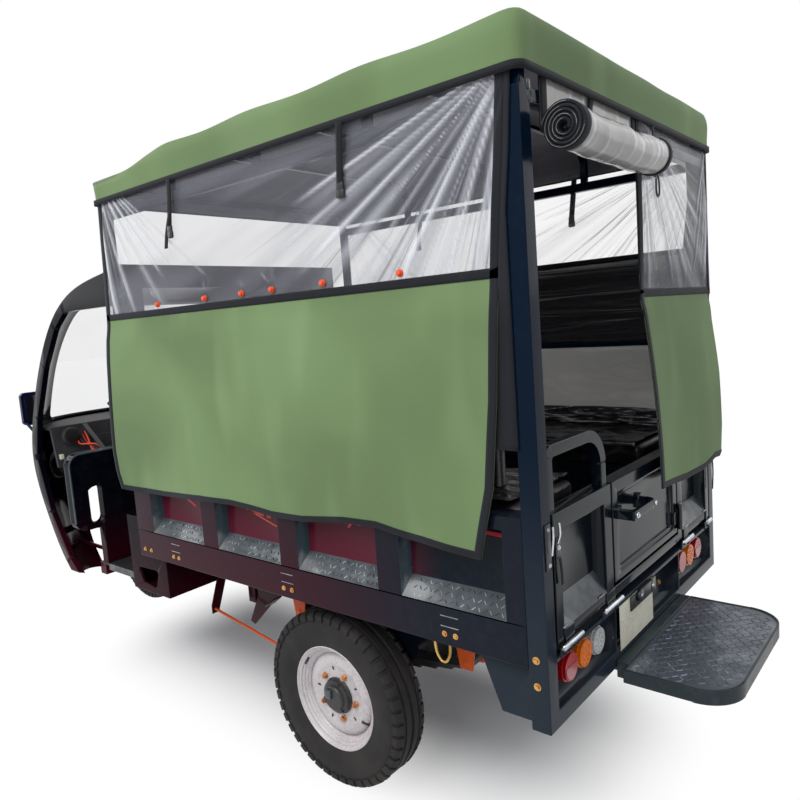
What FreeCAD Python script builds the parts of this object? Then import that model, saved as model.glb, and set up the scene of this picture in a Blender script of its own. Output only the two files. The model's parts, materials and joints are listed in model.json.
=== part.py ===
import FreeCAD, Part
import math
import os

from FreeCAD import Vector

# Three-wheeled electric auto rickshaw: open cab, passenger bed with a folding tailgate, canvas canopy.
# Millimetres. X is the vehicle's left, Y runs to the rear, Z is up.
# While it is drawn, Y = 0 is the rear face of the corner posts and Z = 0 the floor under the tyres.

# Driving dimensions
BODY_HALF = 629.0  # half width over the corner posts
BED_LENGTH = 1720.0  # rear face of the posts to the front board
CAB_LENGTH = 1030.0  # front board to the front axle
NOSE_AHEAD = 294.0  # front of the nose ahead of the front axle
STEP_REACH = 300.0  # rear edge of the step behind the posts
BED_LOW = 590.0  # underside of the bed
CAB_FLOOR = 430.0
CAB_ROOF = 1690.0
CANOPY_EDGE = 1895.0  # lower edge of the roof cover
AXLE_BEHIND = 88.0  # rear axle behind the bed's middle
TRACK = 1053.0
TYRE_DIAMETER = 545.0
TYRE_WIDTH = 125.0
FRONT_TYRE_DIAMETER = 530.0
FRONT_TYRE_WIDTH = 115.0
RIM_DIAMETER = 326.0
RAKE = 22.0  # steering axis from the vertical, in degrees
FORK_OFFSET = 50.0  # front wheel's centre ahead of the steering axis

# Clearances
FIT = 0.05  # radial play of a shaft in its bore
SEAT = 0.3  # a piece that rests on another without touching it
MOVE = 8.0  # a moving piece past a fixed one
OVER = 5.0  # how far a cutting tool stands out past the face it cuts

# Sections
POST = 45.0
POST_DEPTH = 50.0
POST_DROP = 147.0  # foot of the corner posts below the bed
BEAM_TALL = 100.0
GATE_TALL = 255.0  # drop sides and tailgate above the beams
FABRIC = 5.0

# Places worked out from them
REAR_AXLE_Y = AXLE_BEHIND - BED_LENGTH / 2
FRONT_Y = -BED_LENGTH - CAB_LENGTH
AXLE_Z = TYRE_DIAMETER / 2
FRONT_AXLE_Z = FRONT_TYRE_DIAMETER / 2
BEAM_HIGH = BED_LOW + BEAM_TALL
GATE_TOP = BEAM_HIGH + GATE_TALL
POST_LOW = BED_LOW - POST_DROP
FLOOR_TOP = BED_LOW + 55


def box(x0, x1, y0, y1, z0, z1):
    """A block between two opposite corners."""
    low = Vector(min(x0, x1), min(y0, y1), min(z0, z1))
    return Part.makeBox(abs(x1 - x0), abs(y1 - y0), abs(z1 - z0), low)


def rod(start, end, radius):
    """A round bar from one point to another."""
    a = Vector(*start)
    b = Vector(*end)
    return Part.makeCylinder(radius, (b - a).Length, a, b - a)


def fuse(shapes):
    whole = shapes[0]
    if len(shapes) > 1:
        whole = shapes[0].multiFuse(shapes[1:])
    return whole.removeSplitter()


def mirrored(shape):
    """The same piece on the vehicle's other side."""
    return shape.mirror(Vector(0, 0, 0), Vector(1, 0, 0))


def both(shape):
    return [shape, mirrored(shape)]


def rounded_wire(points, radii):
    """A closed outline with an arc of its own radius at each corner, or a sharp corner where that is 0."""
    count = len(points)
    starts = []
    ends = []
    edges = []
    for i, (corner, radius) in enumerate(zip(points, radii)):
        if not radius:
            starts.append(corner)
            ends.append(corner)
            continue
        u = (points[i - 1] - corner).normalize()
        v = (points[(i + 1) % count] - corner).normalize()
        half = u.getAngle(v) / 2
        reach = radius / math.tan(half)
        middle = (u + v).normalize()
        crown = corner + middle * (radius / math.sin(half) - radius)
        starts.append(corner + u * reach)
        ends.append(corner + v * reach)
        edges.append(Part.Arc(starts[i], crown, ends[i]).toShape())
    for i in range(count):
        following = starts[(i + 1) % count]
        if (following - ends[i]).Length > 1e-6:
            edges.append(Part.LineSegment(ends[i], following).toShape())
    return Part.Wire(Part.__sortEdges__(edges))


def polygon_wire(points):
    return Part.makePolygon(list(points) + [points[0]])


def prism(points, direction, radius=0.0):
    """An outline, rounded if a radius or a list of them is given, drawn out along a direction."""
    if isinstance(radius, (list, tuple)):
        wire = rounded_wire(points, radius)
    elif radius:
        wire = rounded_wire(points, [radius] * len(points))
    else:
        wire = polygon_wire(points)
    return Part.Face(wire).extrude(direction)


def prism_x(profile, x0, x1, radius=0.0):
    return prism([Vector(x0, y, z) for y, z in profile], Vector(x1 - x0, 0, 0), radius)


def prism_y(profile, y0, y1, radius=0.0):
    return prism([Vector(x, y0, z) for x, z in profile], Vector(0, y1 - y0, 0), radius)


def prism_z(profile, z0, z1, radius=0.0):
    return prism([Vector(x, y, z0) for x, y in profile], Vector(0, 0, z1 - z0), radius)


def revolve_x(profile, y, z):
    """A closed outline of (x, radius) points turned about an axle along X."""
    points = [Vector(x, y, z + r) for x, r in profile]
    face = Part.Face(polygon_wire(points))
    return face.revolve(Vector(0, y, z), Vector(1, 0, 0), 360)


def rectangle(a0, a1, b0, b1):
    return [(a0, b0), (a1, b0), (a1, b1), (a0, b1)]


nodes = {}


def keep(name, shapes):
    nodes[name] = shapes if isinstance(shapes, list) else [shapes]


# Wheels

BEAD = 12.0  # depth of the rim's flange over its bead seat
LUGS = 36
LUG_HEIGHT = 9.0
HUB_BORE = 20.0 + FIT
HUB_HALF = 34.0
WELL_DEPTH = 34.0
RIM_SHARE = 0.36  # half the rim's width over the tyre's whole width
DISH_SHARE = 0.55  # how far out the wheel's disc sits in the rim


def tyre(x, y, diameter, width):
    """A cross-ply tyre: straight-sided carcass with open-shouldered lugs around its edges."""
    radius = diameter / 2
    seat = RIM_DIAMETER / 2 - BEAD
    half = width / 2
    base = radius - LUG_HEIGHT
    waist = radius * 0.80
    bead_half = width * RIM_SHARE
    profile = [
        (-bead_half, seat),
        (bead_half, seat),
        (bead_half, seat + 15),
        (half, waist - 20),
        (half * 0.97, waist + 18),
        (half * 0.80, radius),
        (-half * 0.80, radius),
        (-half * 0.97, waist + 18),
        (-half, waist - 20),
        (-bead_half, seat + 15),
    ]
    body = revolve_x([(x + a, r) for a, r in profile], y, radius)
    notches = []
    notch = 2 * math.pi * radius / LUGS * 0.30
    for i in range(LUGS):
        for sign in (-1, 1):
            turn = 360.0 / LUGS * (i + 0.25 * sign)
            inner = x + sign * half * 0.35
            outer = x + sign * (half + OVER)
            slot = box(inner, outer, y - notch / 2, y + notch / 2, radius + base, 2 * radius + OVER)
            slot.rotate(Vector(x, y, radius), Vector(1, 0, 0), turn)
            notches.append(slot)
    return body.cut(Part.makeCompound(notches))


def rim(x, y, radius, width, outward):
    """A steel disc wheel with its hub, dished towards the outer side."""
    flange = RIM_DIAMETER / 2
    seat = flange - BEAD - SEAT
    half = width * RIM_SHARE
    well = flange - WELL_DEPTH
    dish = dish_of(width)
    lip = half + SEAT

    def at(offset):
        return x + outward * offset

    barrel = [
        (at(-lip - 6), flange),
        (at(-lip - 6), flange - 5),
        (at(-half + 2), seat - 6),
        (at(-half * 0.4), well),
        (at(half * 0.4), well),
        (at(half - 2), seat - 6),
        (at(lip + 6), flange - 5),
        (at(lip + 6), flange),
        (at(lip), flange),
        (at(lip), seat),
        (at(half * 0.5), well + 6),
        (at(-half * 0.5), well + 6),
        (at(-lip), seat),
        (at(-lip), flange),
    ]
    disc = [
        (at(dish - 22), well + 3),
        (at(dish - 16), well + 3),
        (at(dish), 100.0),
        (at(dish - 12), 70.0),
        (at(dish - 12), HUB_BORE),
        (at(dish - 20), HUB_BORE),
        (at(dish - 20), 66.0),
        (at(dish - 8), 96.0),
    ]
    hub = [
        (at(-HUB_HALF), HUB_BORE),
        (at(dish - 16), HUB_BORE),
        (at(dish - 16), 48.0),
        (at(-HUB_HALF), 48.0),
    ]
    return fuse([revolve_x(p, y, radius) for p in (barrel, disc, hub)])


def dish_of(width):
    return DISH_SHARE * width * RIM_SHARE


def hub_cap(x, sign, width):
    """The black dust cap over the hub nut, seated on the wheel's disc."""
    seat = dish_of(width) - 12
    return [
        (x + sign * seat, 24.0),
        (x + sign * seat, 55.0),
        (x + sign * (seat + 22), 50.0),
        (x + sign * (seat + 34), 38.0),
        (x + sign * (seat + 34), 0.0),
        (x + sign * (seat + 28), 0.0),
        (x + sign * (seat + 28), 24.0),
    ]


def wheels():
    for name, sign in (("left", 1), ("right", -1)):
        x = sign * TRACK / 2
        keep("rear_tyre_" + name, tyre(x, REAR_AXLE_Y, TYRE_DIAMETER, TYRE_WIDTH))
        disc = rim(x, REAR_AXLE_Y, AXLE_Z, TYRE_WIDTH, sign)
        cap = revolve_x(hub_cap(x, sign, TYRE_WIDTH), REAR_AXLE_Y, AXLE_Z)
        keep("rear_rim_" + name, fuse([disc, cap]))
    keep("front_tyre", tyre(0, FRONT_Y, FRONT_TYRE_DIAMETER, FRONT_TYRE_WIDTH))
    keep("front_rim", rim(0, FRONT_Y, FRONT_AXLE_Z, FRONT_TYRE_WIDTH, 1))


# Chassis and running gear

RAIL_WIDE = 40.0
RAIL_TALL = 80.0
RAIL_X = TRACK / 2 - 186.5
RAIL_BOTTOM = BED_LOW - RAIL_TALL
FLOOR_RAIL_X = 200.0
FLOOR_RAIL_TALL = 55.0
FLOOR_RAIL_TOP = CAB_FLOOR - 10
FLOOR_RAIL_LOW = FLOOR_RAIL_TOP - FLOOR_RAIL_TALL
FLOOR_RAIL_REAR = -BED_LENGTH + 320
RAIL_FRONT = -BED_LENGTH + 112
CROSS_WIDE = 40.0
SHIELD_Y = FRONT_Y + 520
SHIELD_THICK = 45.0
GOOSENECK = 50.0  # side of the square tube to the steering head
HEAD_LOW = 380.0  # the steering head's lower and upper end, along the steering axis from the wheel
HEAD_HIGH = 560.0
HEAD_RADIUS = 32.0
STEM_RADIUS = 17.0

SPRING_SPAN = 360.0  # axle to each spring eye
SPRING_DROP = 115.0  # spring eyes below the rails
SPRING_WIDE = 50.0
LEAF = 8.0
LEAVES = 5
LEAF_STEP = 0.17  # share of the span that each shorter leaf loses
EYE_RADIUS = 20.0
EYE_PIN = 8.0
HANGER = 6.0
SPRING_EYE_Z = RAIL_BOTTOM - SPRING_DROP
SPRING_ENDS = (REAR_AXLE_Y - SPRING_SPAN, REAR_AXLE_Y + SPRING_SPAN)
AXLE_RADIUS = 32.0
STUB_RADIUS = 20.0
DRUM_RADIUS = 95.0
DRUM_THICK = 11.0
DRUM_GAP = 3.0
PLATE = 6.0
BRAKE_X = TRACK / 2 - TYRE_WIDTH / 2 - 19
BRAKE_ROD = 5.0
BRAKE_FRONT_Y = -BED_LENGTH + 176
BRAKE_FRONT_Z = 343.0
BRAKE_REAR_Y = REAR_AXLE_Y - 28
BRAKE_REAR_Z = AXLE_Z - 43


def steering_point(along, ahead=0.0):
    """A point on the steering axis at a distance up it, and a distance ahead of it."""
    lean = math.radians(RAKE)
    wheel = Vector(0, FRONT_Y, FRONT_AXLE_Z)
    up = Vector(0, math.sin(lean), math.cos(lean))
    forward = Vector(0, -math.cos(lean), math.sin(lean))
    return wheel + up * along + forward * (ahead - FORK_OFFSET)


def hanger(y):
    """A pair of spring hanger plates under a chassis rail, with the pin between them."""
    plates = []
    for side in (-1, 1):
        inner = RAIL_X + side * (SPRING_WIDE / 2 + 2)
        outer = inner + side * HANGER
        low = SPRING_EYE_Z - EYE_RADIUS - 2
        profile = [(y - 45, RAIL_BOTTOM), (y - 22, low), (y + 22, low), (y + 45, RAIL_BOTTOM)]
        plates.append(prism_x(profile, inner, outer, 5))
    reach = SPRING_WIDE / 2 + 2 + HANGER + 3
    pin = rod((RAIL_X - reach, y, SPRING_EYE_Z), (RAIL_X + reach, y, SPRING_EYE_Z), EYE_PIN)
    head = box(RAIL_X - reach + 3, RAIL_X + reach - 3, y - 50, y + 50, RAIL_BOTTOM, RAIL_BOTTOM + 10)
    return plates + [pin, head]


def brake_bracket():
    """The folded arm under a rail that holds the front end of a brake rod."""
    rail_side = RAIL_X + RAIL_WIDE / 2 - 2
    outer = BRAKE_X + 14
    low = BRAKE_FRONT_Z - 16
    arm = [
        (rail_side, RAIL_BOTTOM + 30),
        (rail_side, RAIL_BOTTOM),
        (BRAKE_X - 16, low),
        (outer, low),
        (outer, BRAKE_FRONT_Z + 16),
        (rail_side + 34, RAIL_BOTTOM + 30),
    ]
    return prism_y(arm, BRAKE_FRONT_Y - PLATE, BRAKE_FRONT_Y)


def outrigger():
    """The flared plate that hangs from a rail ahead of the wheel."""
    rear = -BED_LENGTH + 473
    outline = [
        (rear, RAIL_BOTTOM + 20),
        (rear, 425),
        (rear - 48, 390),
        (rear - 171, 276),
        (rear - 197, 285),
        (rear - 134, 400),
        (rear - 134, RAIL_BOTTOM + 20),
    ]
    side = RAIL_X + RAIL_WIDE / 2
    fold = prism_x([(rear, 425), (rear - 48, 390), (rear - 48, 384), (rear, 419)], side - PLATE, side + 40)
    return [prism_x(outline, side - PLATE, side + 0.5), fold]


def rails():
    """The two bed rails, the lower rails of the cab's floor, and what joins them across."""
    pieces = []
    shield_front = SHIELD_Y - SHIELD_THICK
    outer = RAIL_X + RAIL_WIDE / 2
    inner = RAIL_X - RAIL_WIDE / 2
    low_in = FLOOR_RAIL_X - RAIL_WIDE / 2
    low_out = FLOOR_RAIL_X + RAIL_WIDE / 2
    neck_rear = FLOOR_RAIL_REAR - CROSS_WIDE
    pieces += both(box(inner, outer, -POST_DEPTH - 10, RAIL_FRONT, RAIL_BOTTOM, BED_LOW))
    pieces += both(box(low_in, low_out, FLOOR_RAIL_REAR, shield_front - 55, FLOOR_RAIL_LOW, FLOOR_RAIL_TOP))
    pieces += both(box(low_in, outer, FLOOR_RAIL_REAR, neck_rear, FLOOR_RAIL_LOW, RAIL_BOTTOM + 20))
    rear_crosses = [-90.0, SPRING_ENDS[1] + 12, SPRING_ENDS[0] - 48]
    front_crosses = [FLOOR_RAIL_REAR - 20, RAIL_FRONT + 18]
    for y in rear_crosses + front_crosses:
        half = CROSS_WIDE / 2
        pieces.append(box(-inner, inner, y - half, y + half, RAIL_BOTTOM + 15, BED_LOW - 15))
    wide = BODY_HALF - 129
    pieces.append(box(-wide, wide, shield_front - 55, shield_front - 5, FLOOR_RAIL_LOW, FLOOR_RAIL_TOP))
    return pieces


def gooseneck():
    """The square tube from the front cross member up to the steering head, and the head's tube."""
    head_mid = steering_point((HEAD_LOW + HEAD_HIGH) / 2)
    half = GOOSENECK / 2
    foot = Vector(0, SHIELD_Y - SHIELD_THICK - 30, FLOOR_RAIL_LOW + half)
    along = (head_mid - foot).normalize()
    across = Vector(half, 0, 0)
    normal = along.cross(across)
    ring = [foot - across - normal, foot + across - normal, foot + across + normal, foot - across + normal]
    head = rod(steering_point(HEAD_LOW), steering_point(HEAD_HIGH), HEAD_RADIUS)
    return [prism(ring, head_mid - foot), head]


def chassis():
    pieces = rails() + gooseneck()
    for y in SPRING_ENDS:
        for piece in hanger(y):
            pieces += both(piece)
    for piece in [brake_bracket()] + outrigger():
        pieces += both(piece)
    bore = rod(steering_point(HEAD_LOW - OVER), steering_point(HEAD_HIGH + OVER), STEM_RADIUS + FIT)
    keep("chassis_frame", fuse(pieces).cut(bore))


def leaf_spring(sign):
    """Stacked leaves on one arc, the longest with an eye at each end round the hanger pins."""
    low = AXLE_Z + AXLE_RADIUS + 8 + LEAF * LEAVES
    sag = SPRING_EYE_Z - EYE_RADIUS + LEAF / 2 - low
    radius = (SPRING_SPAN * SPRING_SPAN + sag * sag) / (2 * sag)
    x0 = sign * RAIL_X - SPRING_WIDE / 2
    x1 = x0 + SPRING_WIDE
    centre = Vector(x0, REAR_AXLE_Y, low + radius)
    full = math.degrees(math.asin(SPRING_SPAN / radius))
    pieces = []
    for i in range(LEAVES):
        high = centre.z - radius - LEAF * i
        swing = full * (1 - LEAF_STEP * i)
        corners = [(x0, high), (x1, high), (x1, high - LEAF), (x0, high - LEAF)]
        face = Part.Face(polygon_wire([Vector(x, REAR_AXLE_Y, z) for x, z in corners]))
        face.rotate(centre, Vector(1, 0, 0), -swing)
        pieces.append(face.revolve(centre, Vector(1, 0, 0), 2 * swing))
    for y in SPRING_ENDS:
        pieces.append(rod((x0, y, SPRING_EYE_Z), (x1, y, SPRING_EYE_Z), EYE_RADIUS))
    pad_low = AXLE_Z + AXLE_RADIUS - 4
    pad = box(x0 - 4, x1 + 4, REAR_AXLE_Y - 50, REAR_AXLE_Y + 50, pad_low, low - LEAF)
    spring = fuse(pieces + [pad])
    for y in SPRING_ENDS:
        spring = spring.cut(rod((x0 - OVER, y, SPRING_EYE_Z), (x1 + OVER, y, SPRING_EYE_Z), EYE_PIN + SEAT))
    return spring


def rear_axle():
    """A tube axle with a round differential case in its middle, brake drums and a stub in each wheel."""
    hub_inner = TRACK / 2 - HUB_HALF
    stub_end = TRACK / 2 + dish_of(TYRE_WIDTH) - 2
    drum_out = hub_inner - DRUM_GAP
    drum_in = drum_out - DRUM_THICK
    profile = [
        (0, 0),
        (stub_end, 0),
        (stub_end, STUB_RADIUS),
        (drum_out, STUB_RADIUS),
        (drum_out, DRUM_RADIUS),
        (drum_in, DRUM_RADIUS),
        (drum_in, AXLE_RADIUS),
        (150, AXLE_RADIUS),
        (105, 70),
        (60, 110),
        (0, 118),
    ]
    half = revolve_x(profile, REAR_AXLE_Y, AXLE_Z)
    pin_start = (BRAKE_X - 8, BRAKE_REAR_Y, BRAKE_REAR_Z)
    pin = rod(pin_start, (drum_in + 2, BRAKE_REAR_Y, BRAKE_REAR_Z), PLATE)
    return fuse(both(half) + both(pin))


def brake_rods():
    rods = []
    for sign in (-1, 1):
        front = Vector(sign * BRAKE_X, BRAKE_FRONT_Y + SEAT, BRAKE_FRONT_Z)
        pin = Vector(sign * BRAKE_X, BRAKE_REAR_Y, BRAKE_REAR_Z)
        end = pin - (pin - front).normalize() * (PLATE + 2 * SEAT)
        rods.append(rod(front, end, BRAKE_ROD))
    return rods


def running_gear():
    axle = rear_axle()
    motor_x = 40
    motor = rod((motor_x, REAR_AXLE_Y - 95, AXLE_Z), (motor_x, REAR_AXLE_Y - 330, AXLE_Z), 85)
    keep("leaf_springs", [leaf_spring(sign).cut(axle) for sign in (-1, 1)])
    keep("rear_axle", axle)
    keep("drive_motor", motor.cut(axle))
    keep("brake_rods", brake_rods())


# Bed

INNER_HALF = BODY_HALF - POST
FLOOR_SHEET = 4.0
RIBS = 6
RIB_WIDE = 40.0
BOARD = 30.0
SPLASH = 4.0
SPLASH_FOLD = 30.0
BAYS = 4
BAY_GAP = 82.0
BAY_ENDS = 132.0
BAY_PITCH = (BED_LENGTH - BAY_ENDS) / BAYS
BAY_LENGTH = BAY_PITCH - BAY_GAP
BAY_REAR = -103.0
BAY_DEPTH = 50.0
LEDGE_RISE = 44.0
SIDE_THICK = 62.0


def bed():
    front = -BED_LENGTH
    floor = [box(-INNER_HALF, INNER_HALF, -POST_DEPTH, front + BOARD, FLOOR_TOP - FLOOR_SHEET, FLOOR_TOP)]
    first = -110.0
    rib_gap = (BED_LENGTH - 200) / (RIBS - 1)
    for i in range(RIBS):
        y = first - rib_gap * i
        floor.append(box(-INNER_HALF, INNER_HALF, y - RIB_WIDE / 2, y + RIB_WIDE / 2, BED_LOW, FLOOR_TOP))
    keep("bed_floor", fuse(floor + both(splash_plate())))
    keep("side_beams", both(box(INNER_HALF, BODY_HALF, -POST_DEPTH, front, BED_LOW, BEAM_HIGH)))
    keep("drop_sides", both(drop_side()))
    board_half = BODY_HALF - SIDE_THICK - SEAT
    board = box(-board_half, board_half, front, front + BOARD - SEAT, BED_LOW, GATE_TOP + 60)
    panel = rectangle(-board_half + 65, board_half - 65, BEAM_HIGH + 20, GATE_TOP)
    keep("front_board", board.cut(prism_y(panel, front - OVER, front + BOARD * 0.4, 20)))


def splash_plate():
    """The folded plate that hangs between a rear wheel and the chassis."""
    outer = TRACK / 2 - TYRE_WIDTH / 2 - MOVE
    front = REAR_AXLE_Y - 58
    corner = (REAR_AXLE_Y + 84, BED_LOW - 117)
    foot = (REAR_AXLE_Y + 160, BED_LOW - 236)
    rear = REAR_AXLE_Y + 249
    top = BED_LOW + 4
    outline = [(front, top), (front, corner[1]), corner, foot, (rear, BED_LOW - 167), (rear, top)]
    fold = [(front, corner[1]), corner, foot, (foot[0] + 3, foot[1] + 3), (corner[0] + 4, corner[1] + 4)]
    web = prism_x(outline, outer - SPLASH, outer)
    return fuse([web, prism_x(fold + [(front, corner[1] + 4)], outer - SPLASH_FOLD, outer)])


def drop_side():
    """A pressed side panel: four bays sunk between upright pillars, each over a sloping ledge."""
    outer = BODY_HALF
    deep = outer - BAY_DEPTH
    panel = box(outer - SIDE_THICK, outer, -POST_DEPTH - SEAT, -BED_LENGTH, BEAM_HIGH, GATE_TOP)
    low = BEAM_HIGH + 2
    high = GATE_TOP - 35
    mouth = [(outer + OVER, low), (outer + OVER, high)]
    bay = mouth + [(deep + 6, high), (deep, high - 6), (deep, low + LEDGE_RISE)]
    bays = []
    for i in range(BAYS):
        rear = BAY_REAR - BAY_PITCH * i
        bays.append(prism_y(bay + [(outer, low)], rear, rear - BAY_LENGTH))
    return panel.cut(Part.makeCompound(bays))


# Canopy sizes

CANOPY_SIDE = CANOPY_EDGE + 85  # height of the cover's rolled side
CANOPY_TOP = CANOPY_SIDE + 50
CANOPY_HALF = BODY_HALF + 16
ROOF_TUBE_Z = CANOPY_EDGE - 25
ROOF_DROP = 72.0  # the cover's top at its front edge below the rest
TUBE = 30.0


def bow(y0, y1, drop=0.0):
    """A bent roof bow standing on the side tubes, under the cover's crown."""
    half = BODY_HALF - 7
    crown = CANOPY_TOP - FABRIC - SEAT - drop
    shoulder = CANOPY_SIDE - 32 - drop / 2
    foot = ROOF_TUBE_Z - 5
    slope = 40.0
    thick = 22.0
    outer = [(half, foot), (half, shoulder), (half - slope, crown)]
    inner = [(half - slope - thick, crown - thick), (half - thick, shoulder - 4), (half - thick, foot)]
    right = [(-x, z) for x, z in reversed(outer)]
    right_inner = [(-x, z) for x, z in reversed(inner)]
    return prism_y(outer + right + right_inner + inner, y0, y1)


# Rear frame, lamps and tailgate

LAMP_BOARD_Y = -45.0
LAMP_Z = POST_LOW + 102
LAMP_RADIUS = 38.0
LAMP_PITCH = 80.0
LAMP_FIRST = BODY_HALF - POST - 94
LAMP_DEPTH = 24.0
LAMP_DOME = 8.0
DIVIDER_X = BODY_HALF - 379
BUMPER_TALL = 42.0
PLATE_LAP = 7.0
LINTEL_LOW = BED_LOW + 10
LINTEL_HIGH = BED_LOW + 22
GUSSET = 6.0
HINGE_Y = 9.0
HINGE_Z = BED_LOW + 40
HINGE_RADIUS = 7.0
PIN_RADIUS = 4.0
LEAF_THICK = 4.0
KNUCKLE_GAP = 0.5
GATE_THICK = 45.0
GATE_HALF = BODY_HALF - POST - MOVE - 1
GATE_LOW = HINGE_Z + MOVE
GATE_HINGES = (
    (GATE_HALF - 104, GATE_HALF - 6),
    (DIVIDER_X - 23, DIVIDER_X + 86),
    (-DIVIDER_X - 115, -DIVIDER_X - 25),
    (-GATE_HALF + 6, -GATE_HALF + 55),
)
DOOR_HALF = DIVIDER_X - 5
DOOR_LOW = HINGE_Z + 42
DOOR_HINGE_X = -DOOR_HALF - MOVE / 2
DOOR_HINGES = (DOOR_LOW + 12, GATE_TOP - 95)
KNUCKLE = 20.0


def hinge_fixed(x0, x1):
    """The bumper's half of a gate hinge: outer knuckles, their pin and the leaf below them."""
    quarter = (x1 - x0) / 4
    pieces = [rod((x0, HINGE_Y, HINGE_Z), (x1, HINGE_Y, HINGE_Z), PIN_RADIUS)]
    for a, b in ((x0, x0 + quarter), (x1 - quarter, x1)):
        pieces.append(rod((a, HINGE_Y, HINGE_Z), (b, HINGE_Y, HINGE_Z), HINGE_RADIUS))
        pieces.append(box(a, b, 0, LEAF_THICK, LINTEL_LOW + 4, HINGE_Z))
    return pieces


def hinge_moving(x0, x1):
    """The gate's half: the middle knuckle and the leaf above it."""
    quarter = (x1 - x0) / 4
    a = x0 + quarter + KNUCKLE_GAP
    b = x1 - quarter - KNUCKLE_GAP
    knuckle = rod((a, HINGE_Y, HINGE_Z), (b, HINGE_Y, HINGE_Z), HINGE_RADIUS)
    return [knuckle, box(a, b, 0, LEAF_THICK, HINGE_Z, HINGE_Z + 36)]


def corner_gusset():
    """The tapered plate under the beam that ties it to the corner post."""
    top = BED_LOW - SEAT
    foot = POST_LOW + 5
    near = -POST_DEPTH + 2
    outline = [(near, top), (near, foot), (near - 95, foot), (near - 150, top)]
    return prism_x(outline, INNER_HALF + 16, INNER_HALF + 16 + GUSSET)


def rear_frame():
    """Corner posts from the bumper rail to the roof, with the sunk lamp bays between them."""
    pieces = []
    roof = ROOF_TUBE_Z
    pieces += both(box(INNER_HALF, BODY_HALF, -POST_DEPTH, 0, POST_LOW, roof))
    pieces += both(box(DIVIDER_X - 3, DIVIDER_X + 3, LAMP_BOARD_Y, 0, POST_LOW, LINTEL_HIGH - 2))
    pieces += both(corner_gusset())
    pieces.append(box(-INNER_HALF, INNER_HALF, -POST_DEPTH, 0, POST_LOW, POST_LOW + BUMPER_TALL))
    pieces.append(box(-INNER_HALF, INNER_HALF, -POST_DEPTH, 0, LINTEL_LOW, LINTEL_HIGH))
    pieces.append(box(-INNER_HALF, INNER_HALF, -POST_DEPTH, LAMP_BOARD_Y, POST_LOW, LINTEL_HIGH))
    pieces.append(box(-INNER_HALF, INNER_HALF, -TUBE, 0, roof - TUBE, roof))
    pieces.append(bow(-TUBE, 0))
    for x0, x1 in GATE_HINGES:
        pieces += hinge_fixed(x0, x1)
    keep("rear_frame", fuse(pieces))
    plate_x = DIVIDER_X - 140
    plate_low = POST_LOW + BUMPER_TALL - PLATE_LAP
    plate = rectangle(plate_x - 120, plate_x + 120, plate_low, LINTEL_LOW + 2)
    keep("number_plate", prism_y(plate, SEAT, SEAT + 2))


def lamp(x):
    """A round lens with a domed face, standing on the lamp board."""
    face = LAMP_BOARD_Y + LAMP_DEPTH
    body = rod((x, LAMP_BOARD_Y, LAMP_Z), (x, face, LAMP_Z), LAMP_RADIUS)
    dome = rod((x, face, LAMP_Z), (x, face + LAMP_DOME, LAMP_Z), LAMP_RADIUS - 4)
    return fuse([body, dome])


def lamps():
    """Red, amber and clear lenses, outermost first; the right side has a second red one for the clear."""
    outer, middle, inner = [LAMP_FIRST - LAMP_PITCH * i for i in range(3)]
    keep("lamps_red", [lamp(outer), lamp(-outer), lamp(-inner)])
    keep("lamps_amber", [lamp(middle), lamp(-middle)])
    keep("lamp_clear", lamp(inner))


def door_hinge_fixed(z):
    """The gate's half of a door hinge: outer knuckles, their pin and the leaf behind them."""
    pieces = [rod((DOOR_HINGE_X, HINGE_Y, z), (DOOR_HINGE_X, HINGE_Y, z + 4 * KNUCKLE), PIN_RADIUS)]
    for low in (z, z + 3 * KNUCKLE):
        high = low + KNUCKLE
        pieces.append(rod((DOOR_HINGE_X, HINGE_Y, low), (DOOR_HINGE_X, HINGE_Y, high), HINGE_RADIUS))
        pieces.append(box(DOOR_HINGE_X, DOOR_HINGE_X - 40, 0, LEAF_THICK, low, high))
    return pieces


def gate_panel(sign):
    """One side of the gate, with a panel sunk over a sloping ledge."""
    inner = DOOR_HALF + MOVE
    panel = box(sign * inner, sign * GATE_HALF, -GATE_THICK, 0, GATE_LOW, GATE_TOP)
    low = DOOR_LOW - 6
    high = GATE_TOP - 45
    deep = -GATE_THICK + MOVE
    sunk = [(OVER, low), (OVER, high), (deep, high), (deep, low + LEDGE_RISE + 10), (0, low)]
    return panel.cut(prism_x(sunk, sign * (inner + 45), sign * (GATE_HALF - 35)))


def arch_rail():
    """The bent square tube over the gate's left panel, for a passenger to hold."""
    size = 30.0
    bend = 100.0
    x0 = DOOR_HALF + MOVE + 1
    x1 = GATE_HALF - 2
    top = GATE_TOP + 155
    low = GATE_TOP - 20
    y0 = -GATE_THICK + 5
    outer = prism_y(rectangle(x0, x1, low, top), y0, y0 + size, [0, 0, 25, bend])
    hole = rectangle(x0 + size, x1 - size, low - OVER, top - size)
    return outer.cut(prism_y(hole, y0 - OVER, y0 + size + OVER, [0, 0, 4, bend - size]))


def gate():
    """A gate hinged along its foot, with a passenger door in its middle."""
    pieces = [box(-GATE_HALF, GATE_HALF, -GATE_THICK, 0, GATE_LOW, DOOR_LOW - MOVE)]
    pieces += [gate_panel(1), gate_panel(-1), arch_rail()]
    for x0, x1 in GATE_HINGES:
        pieces += hinge_moving(x0, x1)
    for z in DOOR_HINGES:
        pieces += door_hinge_fixed(z)
    whole = fuse(pieces)
    for x0, x1 in GATE_HINGES:
        whole = whole.cut(rod((x0, HINGE_Y, HINGE_Z), (x1, HINGE_Y, HINGE_Z), PIN_RADIUS + FIT))
    keep("tailgate", whole)


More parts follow.
